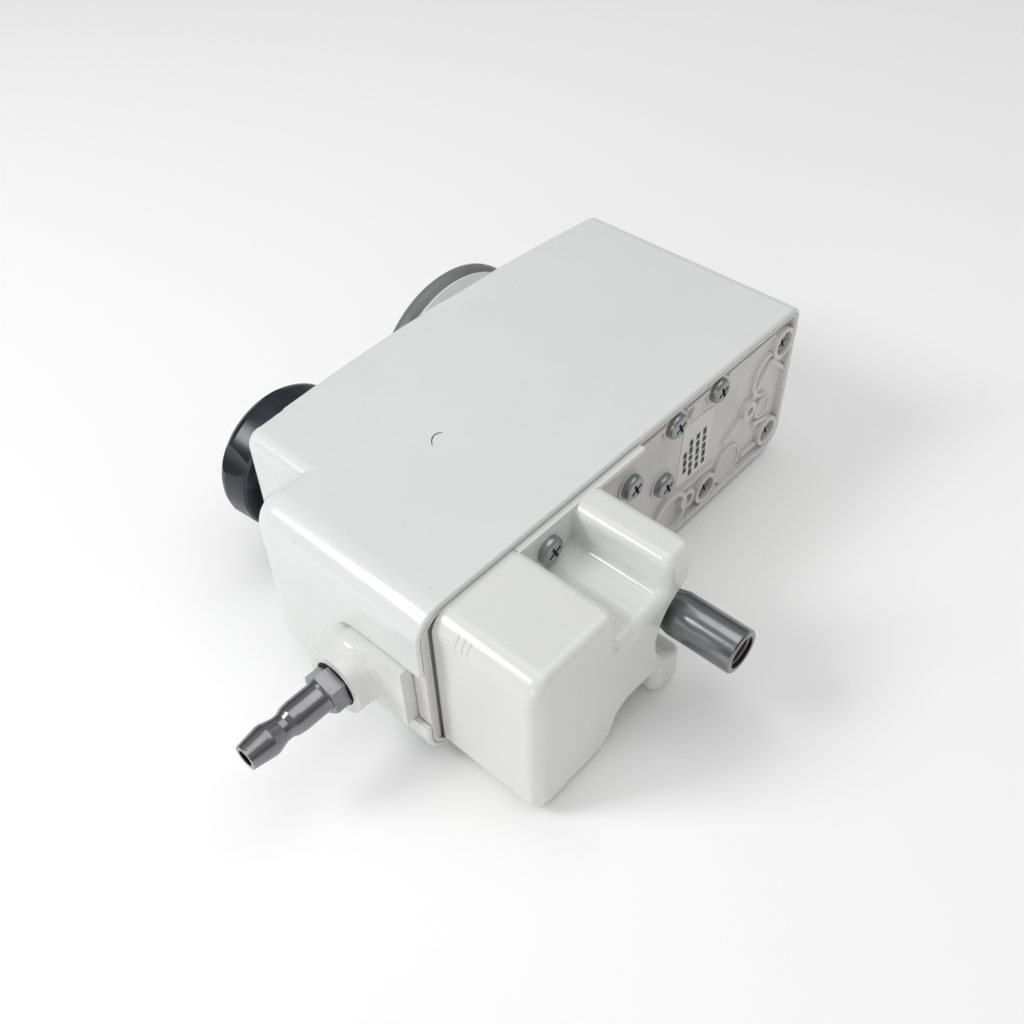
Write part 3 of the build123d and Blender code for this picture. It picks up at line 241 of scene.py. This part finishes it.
# %% A kit for finishes
class Finish:
    """A material whose shader starts with plain values, and the patterns that vary them."""

    def __init__(self, name, colour, roughness, metallic=0.0, **sockets):
        self.material = bpy.data.materials.new(name)
        self.material.use_nodes = True
        self.tree = self.material.node_tree
        self.shader = self.tree.nodes["Principled BSDF"]
        self.colour_now = (*colour, 1.0)
        self.rough_now = roughness
        self.normal_now = None
        self.shader.inputs["Base Color"].default_value = (*colour, 1.0)
        self.shader.inputs["Roughness"].default_value = roughness
        self.shader.inputs["Metallic"].default_value = metallic
        for socket, value in sockets.items():
            self.shader.inputs[socket.replace("_", " ")].default_value = value
        self.place = self.tree.nodes.new("ShaderNodeTexCoord").outputs["Object"]
        self.material.diffuse_color = (*colour, 1.0)

    def feed(self, socket, value):
        """Links an output to a socket, or writes a plain value into it."""
        if isinstance(value, bpy.types.NodeSocket):
            self.tree.links.new(value, socket)
        else:
            socket.default_value = value

    def stretched(self, scale, turn=(0, 0, 0), move=(0, 0, 0)):
        """Object coordinates, moved, turned and then multiplied by scale."""
        node = self.tree.nodes.new("ShaderNodeMapping")
        node.inputs["Scale"].default_value = scale
        node.inputs["Rotation"].default_value = turn
        node.inputs["Location"].default_value = move
        self.feed(node.inputs["Vector"], self.place)
        return node.outputs[0]

    def clouds(self, scale, detail=3.0, roughness=0.55, vector=None):
        """Soft noise from 0 to 1."""
        node = self.tree.nodes.new("ShaderNodeTexNoise")
        node.inputs["Scale"].default_value = scale
        node.inputs["Detail"].default_value = detail
        node.inputs["Roughness"].default_value = roughness
        self.feed(node.inputs["Vector"], vector or self.place)
        return node.outputs["Fac"]

    def cells(self, scale, vector=None):
        """Distance to the nearest cell centre, and a random colour for each cell."""
        node = self.tree.nodes.new("ShaderNodeTexVoronoi")
        node.inputs["Scale"].default_value = scale
        self.feed(node.inputs["Vector"], vector or self.place)
        return node.outputs["Distance"], node.outputs["Color"]

    def sum(self, operation, a, b=0.0):
        """One step of arithmetic."""
        node = self.tree.nodes.new("ShaderNodeMath")
        node.operation = operation
        self.feed(node.inputs[0], a)
        self.feed(node.inputs[1], b)
        return node.outputs[0]

    def band(self, value, low, high, out_low=0.0, out_high=1.0):
        """A ramp that goes from out_low to out_high while value goes from low to high."""
        node = self.tree.nodes.new("ShaderNodeMapRange")
        self.feed(node.inputs["Value"], value)
        sockets = ("From Min", "From Max", "To Min", "To Max")
        for socket, number in zip(sockets, (low, high, out_low, out_high)):
            node.inputs[socket].default_value = number
        return node.outputs["Result"]

    def axis(self, letter):
        """One of the three Object coordinates."""
        node = self.tree.nodes.new("ShaderNodeSeparateXYZ")
        self.feed(node.inputs[0], self.place)
        return node.outputs[letter]

    def line(self, scale, seed, width, turn=(0, 0, 0)):
        """Thin curved lines: where a stretched noise is nearly one half."""
        noise = self.clouds(1.0, 1.0, 0.4, self.stretched(scale, turn, (seed, seed * 0.7, seed * 1.3)))
        off_half = self.sum("ABSOLUTE", self.sum("SUBTRACT", noise, 0.5))
        return self.band(off_half, 0.0, width, 1.0, 0.0)

    def tint(self, amount, colour):
        """Blends the colour so far towards another colour by amount, from 0 to 1."""
        node = self.tree.nodes.new("ShaderNodeMix")
        node.data_type = "RGBA"
        self.feed(node.inputs["Factor"], amount)
        self.feed(node.inputs[6], self.colour_now)
        node.inputs[7].default_value = (*colour, 1.0)
        self.colour_now = node.outputs[2]
        self.feed(self.shader.inputs["Base Color"], self.colour_now)

    def dull(self, amount, extra):
        """Adds amount times extra to the roughness."""
        more = self.sum("MULTIPLY", amount, extra)
        self.rough_now = self.sum("ADD", more, self.rough_now)
        self.feed(self.shader.inputs["Roughness"], self.rough_now)

    def relief(self, height, depth, strength=1.0):
        """Raises the surface by height times depth, in metres, on top of the relief so far."""
        node = self.tree.nodes.new("ShaderNodeBump")
        node.inputs["Strength"].default_value = strength
        node.inputs["Distance"].default_value = depth
        self.feed(node.inputs["Height"], height)
        if self.normal_now:
            self.feed(node.inputs["Normal"], self.normal_now)
        self.normal_now = node.outputs[0]
        self.feed(self.shader.inputs["Normal"], self.normal_now)


# %% [markdown]
# ## Gloss white plastic
# The cover is moulded in a hard white plastic with a polished skin. Up close it is never perfectly even: the
# melt leaves a very soft unevenness in the reflections, handling leaves hairline scratches, and dust leaves a
# few dark specks. Each of these is one pattern. Their strength is kept low, because the part is clean.

# %% White plastic
def white_plastic(name, colour, shade, scratch_seed):
    """Gloss white: cloudy tone, specks, hairlines and an uneven skin."""
    finish = Finish(name, colour, 0.16, Specular_IOR_Level=0.5, Coat_Weight=0.3,
                    Coat_Roughness=0.05)
    finish.tint(finish.band(finish.clouds(18.0, 4.0), 0.42, 0.72, 0.0, 0.35), shade)
    finish.tint(finish.band(finish.clouds(260.0, 2.0), 0.5, 0.9, 0.0, 0.16), shade)
    near, random = finish.cells(95.0)
    picked = finish.band(random, 0.62, 0.64)
    speck = finish.sum("MULTIPLY", finish.band(near, 0.02, 0.035, 1.0, 0.0), picked)
    finish.tint(finish.sum("MULTIPLY", speck, 0.55), (0.3, 0.27, 0.22))
    worn = finish.band(finish.clouds(45.0, 2.0), 0.56, 0.66)
    hairs = finish.line((60, 9, 60), scratch_seed, 0.004, (0.2, 0.4, 0.5))
    more = finish.line((12, 80, 40), scratch_seed + 3.1, 0.003, (0.5, 0.1, 0.9))
    hairs = finish.sum("MULTIPLY", finish.sum("MAXIMUM", hairs, more), worn)
    finish.tint(finish.sum("MULTIPLY", hairs, 0.14), (0.35, 0.34, 0.32))
    finish.dull(finish.clouds(30.0, 3.0), 0.09)
    finish.dull(hairs, 0.25)
    finish.relief(finish.clouds(420.0, 2.0), 0.00002, 0.5)
    finish.relief(hairs, -0.00001, 0.6)
    return finish


cover_white = white_plastic("cover_white", (0.74, 0.765, 0.75), (0.685, 0.705, 0.68), 1.7)
adapter_white = white_plastic("adapter_white", (0.745, 0.755, 0.73), (0.69, 0.695, 0.66), 5.3)
holder_white = white_plastic("holder_white", (0.74, 0.745, 0.72), (0.66, 0.66, 0.62), 9.1)

# %% [markdown]
# ## Marks of use
# A few marks are in known places: a short curved hair mark on the upper side of the cover, and three nicks on
# the edge of the adapter block. The hair mark is a piece of a parabola, y = k x^2: the points that lie
# nearly on the curve. The nicks are thin bands across the Y axis, cut off to the edge of the block.

# %% Hair mark and nicks
def both(finish, first, second):
    """Where two patterns from 0 to 1 overlap."""
    return finish.sum("MULTIPLY", first, second)


hair_x, hair_y = cover_low.x + 126.5 * mm, cover_high.y - 46.0 * mm
hair_bend = 0.19 / mm
aside = cover_white.sum("SUBTRACT", cover_white.axis("X"), hair_x)
bow = both(cover_white, both(cover_white, aside, aside), hair_bend)
off_curve = cover_white.sum("SUBTRACT", cover_white.sum("SUBTRACT", cover_white.axis("Y"), hair_y), bow)
hair = cover_white.band(cover_white.sum("ABSOLUTE", off_curve), 0.2 * mm, 0.3 * mm, 1.0, 0.0)
for value, low, high in ((aside, -2.2 * mm, -1.9 * mm), (aside, 3.9 * mm, 3.6 * mm),
                         (cover_white.axis("Z"), mid_z + 29 * mm, mid_z + 30 * mm)):
    hair = both(cover_white, hair, cover_white.band(value, low, high))
cover_white.tint(both(cover_white, hair, 0.95), (0.04, 0.04, 0.04))

near_end = adapter_white.band(adapter_white.axis("X"), adapter_high.x - 2.6 * mm, adapter_high.x - 1.8 * mm)
near_top = adapter_white.band(adapter_white.axis("Z"), adapter_high.z - 6.5 * mm, adapter_high.z - 5.0 * mm)
nick_edge = both(adapter_white, near_end, near_top)
for offset in (8.2, 10.4, 12.3):
    nick_y = adapter_low.y + offset * mm
    off_line = adapter_white.sum("SUBTRACT", adapter_white.axis("Y"), nick_y)
    off_line = adapter_white.sum("ABSOLUTE", off_line)
    nick = both(adapter_white, adapter_white.band(off_line, 0.1 * mm, 0.24 * mm, 1.0, 0.0), nick_edge)
    adapter_white.tint(both(adapter_white, nick, 0.4), (0.3, 0.29, 0.27))
    adapter_white.relief(nick, -0.00006)

# %% [markdown]
# ## Grey plastics
# The rear plate is a warm grey with a dull, slightly grainy skin. Dust gathers in it, so a second, browner tone
# follows a coarse cloud. The gauge ring is the same kind of plastic in dark grey. The knob is nearly black and
# polished, with fine wear that shows as bluish streaks.

# %% Grey and black plastics
def grained_plastic(name, colour, dust, roughness, grain_depth):
    """Satin moulded plastic: dusty clouds and a fine grain."""
    finish = Finish(name, colour, roughness, Specular_IOR_Level=0.45)
    finish.tint(finish.band(finish.clouds(55.0, 5.0), 0.45, 0.75, 0.0, 0.55), dust)
    near, random = finish.cells(180.0)
    picked = finish.band(random, 0.6, 0.62)
    speck = finish.sum("MULTIPLY", finish.band(near, 0.04, 0.07, 1.0, 0.0), picked)
    finish.tint(finish.sum("MULTIPLY", speck, 0.5), tuple(0.5 * c for c in dust))
    finish.dull(finish.clouds(90.0, 3.0), 0.12)
    finish.relief(finish.clouds(1500.0, 2.0), grain_depth, 0.7)
    return finish


chassis_grey = grained_plastic("chassis_grey", (0.7, 0.69, 0.66), (0.52, 0.49, 0.44), 0.34, 0.00003)
plug_grey = grained_plastic("plug_grey", (0.68, 0.63, 0.6), (0.55, 0.49, 0.45), 0.42, 0.00003)
ring_grey = grained_plastic("ring_grey", (0.17, 0.185, 0.18), (0.11, 0.115, 0.11), 0.32, 0.00004)
cap_grey = grained_plastic("cap_grey", (0.09, 0.095, 0.10), (0.06, 0.06, 0.06), 0.3, 0.00004)

knob_black = Finish("knob_black", (0.007, 0.008, 0.013), 0.24, Specular_IOR_Level=0.42)
knob_wear = knob_black.band(knob_black.clouds(60.0, 5.0), 0.5, 0.72)
knob_black.tint(knob_black.sum("MULTIPLY", knob_wear, 0.5), (0.028, 0.034, 0.055))
knob_hairs = knob_black.sum("MULTIPLY", knob_black.line((30, 30, 140), 2.2, 0.01), knob_wear)
knob_black.tint(knob_black.sum("MULTIPLY", knob_hairs, 0.6), (0.11, 0.12, 0.14))
knob_black.dull(knob_wear, 0.14)
knob_black.relief(knob_black.clouds(300.0, 2.0), 0.00003, 0.5)

# %% [markdown]
# ## Metals
# A metal's colour is the colour of its reflections, and its character is in how they blur. Chrome is nearly a
# mirror with a few pits. Zinc plating on the screws is duller and patchy, with a hint of blue and yellow.
# Turned parts have fine rings left by the tool: lines across their axis, so the pattern is squeezed along that axis.

# %% Metals
def metal(name, colour, stain, roughness, blur, ring_scale=(0, 0, 0), ring_depth=0.0, pits=0.0):
    """Bare or plated metal: patchy tone and blur, tool rings and pits."""
    finish = Finish(name, colour, roughness, 1.0)
    patches = finish.band(finish.clouds(70.0, 5.0), 0.42, 0.75)
    finish.tint(finish.sum("MULTIPLY", patches, 0.6), stain)
    finish.dull(finish.clouds(160.0, 4.0), blur)
    if ring_depth:
        rings = finish.clouds(1.0, 3.0, 0.6, finish.stretched(ring_scale))
        finish.relief(rings, ring_depth, 0.6)
        finish.dull(rings, blur * 0.5)
    if pits:
        near, random = finish.cells(650.0)
        pit = finish.sum("MULTIPLY", finish.band(near, 0.1, 0.25, 1.0, 0.0), finish.band(random, 0.7, 0.74))
        pit = finish.sum("MULTIPLY", pit, finish.band(finish.clouds(90.0, 2.0), 0.45, 0.6))
        finish.tint(finish.sum("MULTIPLY", pit, 0.7), (0.12, 0.11, 0.1))
        finish.relief(pit, -pits)
    return finish


along_y = (40, 4000, 40)
along_x = (4000, 40, 40)
all_ways = (900, 900, 900)
tube_chrome = metal("tube_chrome", (0.27, 0.28, 0.29), (0.17, 0.17, 0.17), 0.1, 0.12,
                    along_y, 0.000004, 0.00004)
nipple_chrome = metal("nipple_chrome", (0.26, 0.26, 0.27), (0.14, 0.13, 0.13), 0.12, 0.14,
                      along_x, 0.000006, 0.00004)
thread_steel = metal("thread_steel", (0.42, 0.36, 0.30), (0.2, 0.13, 0.08), 0.32, 0.3,
                     along_y, 0.00001, 0.00004)
zinc = metal("zinc", (0.38, 0.4, 0.41), (0.19, 0.18, 0.15), 0.2, 0.2, all_ways, 0.00001, 0.00003)
satin_steel = metal("satin_steel", (0.5, 0.51, 0.52), (0.4, 0.4, 0.4), 0.3, 0.2, along_y, 0.000008)
spring_wire = metal("spring_wire", (0.4, 0.41, 0.43), (0.28, 0.28, 0.3), 0.25, 0.2, along_x, 0.000008)
cast_alloy = metal("cast_alloy", (0.62, 0.63, 0.64), (0.5, 0.5, 0.5), 0.42, 0.2,
                   (1400, 1400, 1400), 0.00004)
machined_brass = metal("machined_brass", (0.66, 0.48, 0.2), (0.5, 0.33, 0.13), 0.24, 0.2,
                       along_y, 0.000008)
tube_bronze = metal("tube_bronze", (0.6, 0.38, 0.2), (0.42, 0.25, 0.12), 0.28, 0.2, along_y, 0.000008)
sintered_bronze = metal("sintered_bronze", (0.5, 0.37, 0.2), (0.35, 0.24, 0.12), 0.6, 0.2,
                        (3000, 3000, 3000), 0.0001)

# %% [markdown]
# ## Rubber, hose, print and glass
# Rubber is dark and dull with a bloom of grey. The soft tubes inside are milky. The dial is painted, the
# pointer is painted black, and the lens is clear plastic: a thin sheet that lets light straight through is best
# made with a low alpha, because its shadow then stays clear as well.

# %% Soft and printed finishes
rubber = grained_plastic("rubber", (0.03, 0.03, 0.03), (0.06, 0.058, 0.055), 0.6, 0.00003)
milky_hose = grained_plastic("milky_hose", (0.62, 0.61, 0.57), (0.52, 0.49, 0.42), 0.3, 0.00001)
dial_paint = grained_plastic("dial_paint", (0.8, 0.8, 0.78), (0.74, 0.73, 0.68), 0.45, 0.00001)
pointer_paint = grained_plastic("pointer_paint", (0.02, 0.02, 0.02), (0.05, 0.045, 0.04), 0.4, 0.00001)
print_ink = grained_plastic("print_ink", (0.035, 0.035, 0.04), (0.09, 0.09, 0.09), 0.5, 0.00001)
label_film = grained_plastic("label_film", (0.76, 0.76, 0.74), (0.66, 0.64, 0.58), 0.36, 0.00002)

lens_clear = Finish("lens_clear", (0.9, 0.93, 0.93), 0.04, Alpha=0.13, Specular_IOR_Level=0.6)
lens_clear.tint(lens_clear.band(lens_clear.clouds(50.0, 4.0), 0.5, 0.8, 0.0, 0.4), (0.7, 0.72, 0.7))
lens_clear.dull(lens_clear.line((25, 25, 160), 4.4, 0.008), 0.25)
lens_clear.material.surface_render_method = "BLENDED"

# %% [markdown]
# ## Dressing the parts
# Each slot of the record gets one finish, and every part takes the finish of its slot, except the hose nipple and
# the knob cap, which have their own. The slot names come with the frame, so the table below is all that has to be
# given.

# %% Assign the finishes
finish_of_slot = {
    "white_plastic": cover_white, "white_plastic_rear": adapter_white, "cream_plastic": holder_white,
    "grey_plastic": chassis_grey, "plug_plastic": plug_grey, "label": label_film, "black_plastic": knob_black,
    "dark_grey_plastic": ring_grey, "chrome": tube_chrome, "steel": satin_steel, "zinc_screw": zinc,
    "spring_steel": spring_wire, "aluminium": cast_alloy, "brass": machined_brass, "bronze": tube_bronze,
    "sintered": sintered_bronze, "rubber": rubber, "clear_hose": milky_hose, "dial": dial_paint,
    "pointer_paint": pointer_paint, "lens": lens_clear,
}
own_finish = {"hose_nipple": nipple_chrome, "knob_cap": cap_grey}


def dress(piece, finish):
    """Gives a piece one material in its only slot."""
    piece.data.materials.clear()
    piece.data.materials.append(finish.material)


for row in frame["record"]["subparts"]:
    node = row["node"]
    part = parts[node]
    finish = own_finish.get(node, finish_of_slot[row["material_slot"]])
    if not part.material_slots:
        part.data.materials.append(None)
    for place in part.material_slots:
        place.link = "OBJECT"
        place.material = finish.material

# %% [markdown]
# ## Springs
# A coil spring gets shorter while its seat moves, and its far end stays where it is. Here each spring only gets
# its own copy of its mesh, and nothing flattens it.

# %% Springs
def shorten(node):
    """Gives a spring its own copy of its mesh."""
    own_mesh(parts[node])


shorten("range_spring")
shorten("poppet_spring")

# %% [markdown]
# ## The thread in the tube's mouth
# The inlet tube has a female pipe thread. Its crest is a ridge that winds along the bore. Sweeping a small
# profile along a helix gives exactly that: one parameter runs along the helix, the other round the profile. The
# ridge's foot is sunk a little into the wall of the bore, so that no gap shows.

# %% Thread
port = next(m for m in frame["record"]["mounts"] if m["name"] == "inlet_port")
bore_r = port["dims"]["r_mm"] * mm
thread_len = port["dims"]["length_mm"] * mm
pitch = 25.4 * mm / 27


def thread_ridge(turns, per_turn=60):
    """Helix x = r cos a, z = r sin a, y = mouth - pitch * a / (2 pi); r and y take the profile's offsets."""
    angle = np.linspace(0, 2 * math.pi * turns, turns * per_turn + 1)[:, None]
    inward = np.array([-0.06, 0.5, 0.5, -0.06])[None, :] * mm
    slide = np.array([-0.42, -0.1, 0.1, 0.42])[None, :] * pitch
    runout = np.clip(angle / math.pi, 0, 1) * np.clip((angle[-1] - angle) / math.pi, 0, 1)
    radius = bore_r - inward * (0.1 + 0.9 * runout)
    points = np.stack([tube_axis.x + radius * np.cos(angle),
                       tube_mouth_y - 0.9 * mm - pitch * angle / (2 * math.pi) + slide + 0 * radius,
                       tube_axis.z + radius * np.sin(angle)], axis=-1)
    rows = len(angle)
    faces = grid_faces(rows, 4, wrap_columns=True).tolist()
    return points, faces + [[3, 2, 1, 0], [4 * rows - 4 + k for k in range(4)]]


thread = make_piece("inlet_thread", *thread_ridge(int((thread_len - 1.8 * mm) / pitch)), smooth=False)
dress(thread, thread_steel)
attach(thread, "housing")

# %% [markdown]
# ## The print on the dial
# The scale has a long mark for every ten divisions, a middle mark for every five and short marks between. Each
# mark is a thin block that points at the gauge's axis. Zero is 135 degrees before the top of the dial and the
# scale covers 270 degrees, as the pointer does. The top of the dial looks towards the regulator's top end.

# %% Dial marks
def blocks(centres, across, along, thick, width, length):
    """Boxes with the given centres; along and across are unit vectors, and thickness goes along -Y."""
    count = len(centres)
    sign = np.array([[a, b, c] for a in (-1, 1) for b in (-1, 1) for c in (-1, 1)], float)
    half = np.stack([np.broadcast_to(width, count), np.broadcast_to(thick, count),
                     np.broadcast_to(length, count)], axis=-1) / 2
    axes = np.stack([across, np.broadcast_to([0.0, -1.0, 0.0], (count, 3)), along], axis=1)
    points = centres[:, None, :] + np.einsum("kj,nj,njc->nkc", sign, half, axes)
    sides = np.array([[0, 1, 3, 2], [4, 6, 7, 5], [0, 4, 5, 1], [2, 3, 7, 6], [0, 2, 6, 4], [1, 5, 7, 3]])
    return points, (np.arange(count)[:, None, None] * 8 + sides).reshape(-1, 4)


def dial_direction(clockwise):
    """Unit vector on the dial at an angle clockwise from its top; up is -X and right is +Z."""
    return np.stack([-np.cos(clockwise), 0 * clockwise, np.sin(clockwise)], axis=-1)


divisions = 50
mark = np.arange(divisions + 1)
mark_angle = np.radians(-135 + 270 * mark / divisions)
outward = dial_direction(mark_angle)
sideways = dial_direction(mark_angle + math.pi / 2)
mark_length = np.where(mark % 10 == 0, 3.6, np.where(mark % 5 == 0, 2.7, 1.7)) * mm
mark_width = np.where(mark % 5 == 0, 0.45, 0.22) * mm
scale_r = dial_radius - 1.6 * mm
hub = np.array([gauge_axis.x, dial_front_y - 0.02 * mm, gauge_axis.z])
mark_centres = hub + outward * (scale_r - mark_length / 2)[:, None]
ink = 0.05 * mm
mark_shapes = blocks(mark_centres, sideways, outward, ink, mark_width, mark_length)
dial_marks = make_piece("dial_marks", *mark_shapes, smooth=False)
dress(dial_marks, print_ink)
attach(dial_marks, "housing")

# %% [markdown]
# The numbers are generic: 0 to 100 in steps of 20. A text object is turned into a mesh before it is put in
# place, so that its object can stay at the origin like every other part.

# %% Dial numbers
def number_piece(text, centre, height):
    """Text whose right is +Z and whose up is -X, so that it reads upright when the regulator is on the wall."""
    curve = bpy.data.curves.new("number_" + text, "FONT")
    curve.body = text
    curve.size = height
    curve.align_x = "CENTER"
    curve.align_y = "CENTER"
    curve.extrude = 0.025 * mm
    holder = bpy.data.objects.new("number", curve)
    bpy.context.scene.collection.objects.link(holder)
    bpy.context.view_layer.update()
    mesh = bpy.data.meshes.new_from_object(holder.evaluated_get(bpy.context.evaluated_depsgraph_get()))
    bpy.data.objects.remove(holder)
    bpy.data.curves.remove(curve)
    turn = Matrix(((0, -1, 0), (0, 0, -1), (1, 0, 0))).to_4x4()
    mesh.transform(Matrix.Translation(Vector(centre)) @ turn)
    piece = bpy.data.objects.new("number_" + text, mesh)
    bpy.context.scene.collection.objects.link(piece)
    return piece


for step in range(6):
    angle = np.radians(-135 + 54.0 * step)
    centre_point = hub + dial_direction(angle) * (scale_r - 6.3 * mm)
    number = number_piece(str(20 * step), centre_point, 4.0 * mm)
    dress(number, print_ink)
    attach(number, "housing")
print("dial numbers: 6")

# %% [markdown]
# ## The label
# The plate at the back carries a small printed label. Its print is replaced by plain bars, so that it says
# nothing. The bars follow the label's own lean of four degrees and lie on its outer face.

# %% Label print
label_low, label_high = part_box("rear_label")
label_middle = middle("rear_label")
label_turn = math.radians(4)
label_along = np.array([math.sin(label_turn), 0, math.cos(label_turn)])
label_across = np.array([math.cos(label_turn), 0, -math.sin(label_turn)])
bar_rows = [(-5.0, -1.5, 19.0), (-1.3, -1.0, 20.0), (2.4, -1.2, 19.0), (5.6, 2.0, 12.0)]
bar_list = [(across, start + piece * 3.4, 2.4 + 0.3 * ((piece * 5 + line) % 3))
            for line, (across, start, length) in enumerate(bar_rows)
            for piece in range(int(length / 3.4))]
bars = np.array(bar_list) * mm
bar_centres = (np.array([label_middle.x, label_high.y + 0.01 * mm, label_middle.z])
               + bars[:, :1] * label_across + (bars[:, 1:2] - 8.6 * mm) * label_along)
count = len(bars)
bar_across, bar_along = np.tile(label_across, (count, 1)), np.tile(label_along, (count, 1))
bar_shapes = blocks(bar_centres, bar_across, bar_along, 0.04 * mm, 1.9 * mm, bars[:, 2])
label_bars = make_piece("label_bars", *bar_shapes, smooth=False)
dress(label_bars, print_ink)
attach(label_bars, "housing")

# %% [markdown]
# ## The knob's index
# The knob's face has a raised line that shows where it stands. It is a rounded bar: a block whose height falls
# off at its ends and sides, worked out on a grid.

# %% Knob index
knob_front_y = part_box("control_knob")[0].y
knob_r = (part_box("control_knob")[1].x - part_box("control_knob")[0].x) / 2
cap_r = (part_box("knob_cap")[1].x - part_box("knob_cap")[0].x) / 2


def pillow(length, width, height, rows=25, columns=13):
    """Height = h * (1 - |u|^6) * (1 - |v|^4) above a flat foot, for u and v from -1 to 1."""
    u, v = np.meshgrid(np.linspace(-1, 1, rows), np.linspace(-1, 1, columns), indexing="ij")
    rise = height * (1 - np.abs(u) ** 6) * (1 - np.abs(v) ** 4)
    top = np.stack([u * length / 2, rise, v * width / 2], axis=-1)
    foot = top * np.array([1, 0, 1]) + np.array([0, -0.3 * mm, 0])
    faces = grid_faces(rows, columns)
    under = faces[:, ::-1] + rows * columns
    rim = np.concatenate([np.arange(columns), np.arange(1, rows) * columns + columns - 1,
                          np.arange(columns - 2, -1, -1) + (rows - 1) * columns,
                          np.arange(rows - 2, 0, -1) * columns])
    after = np.roll(rim, -1)
    wall = np.stack([rim, after, after + rows * columns, rim + rows * columns], axis=-1)
    return np.concatenate([top.reshape(-1, 3), foot.reshape(-1, 3)]), np.concatenate([faces, under, wall])


index_points, index_faces = pillow(7.4 * mm, 1.8 * mm, 0.5 * mm)
index_centre = np.array([knob_axis.x - (cap_r + knob_r - 4.0 * mm) / 2, knob_front_y, knob_axis.z])
index_points = index_points * np.array([1, -1, 1]) * np.array([1, 0.36, 1]) + index_centre
knob_index = make_piece("knob_index", index_points, index_faces)
dress(knob_index, dial_paint)
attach(knob_index, "knob")

# %% [markdown]
# ## Size and finish
# This step prints how far the box of the finished model has grown beyond the box of the engineering model, on each
# side.

# %% Print the growth
visual_box = [list(corner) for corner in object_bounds()]
grown = [round(abs(a - b) / mm, 3) for a, b in zip(cad_box[0] + cad_box[1], visual_box[0] + visual_box[1])]
print("grown by, in mm:", grown)

# %% [markdown]
# The floor is nearly white, with a tone that is hardly uneven.

# %% The floor's finish
floor_paint = Finish("floor_paint", (0.99, 0.99, 0.99), 0.6)
floor_paint.tint(floor_paint.band(floor_paint.clouds(3.0, 3.0), 0.4, 0.7, 0.0, 0.2), (0.97, 0.97, 0.97))
dress(floor, floor_paint)
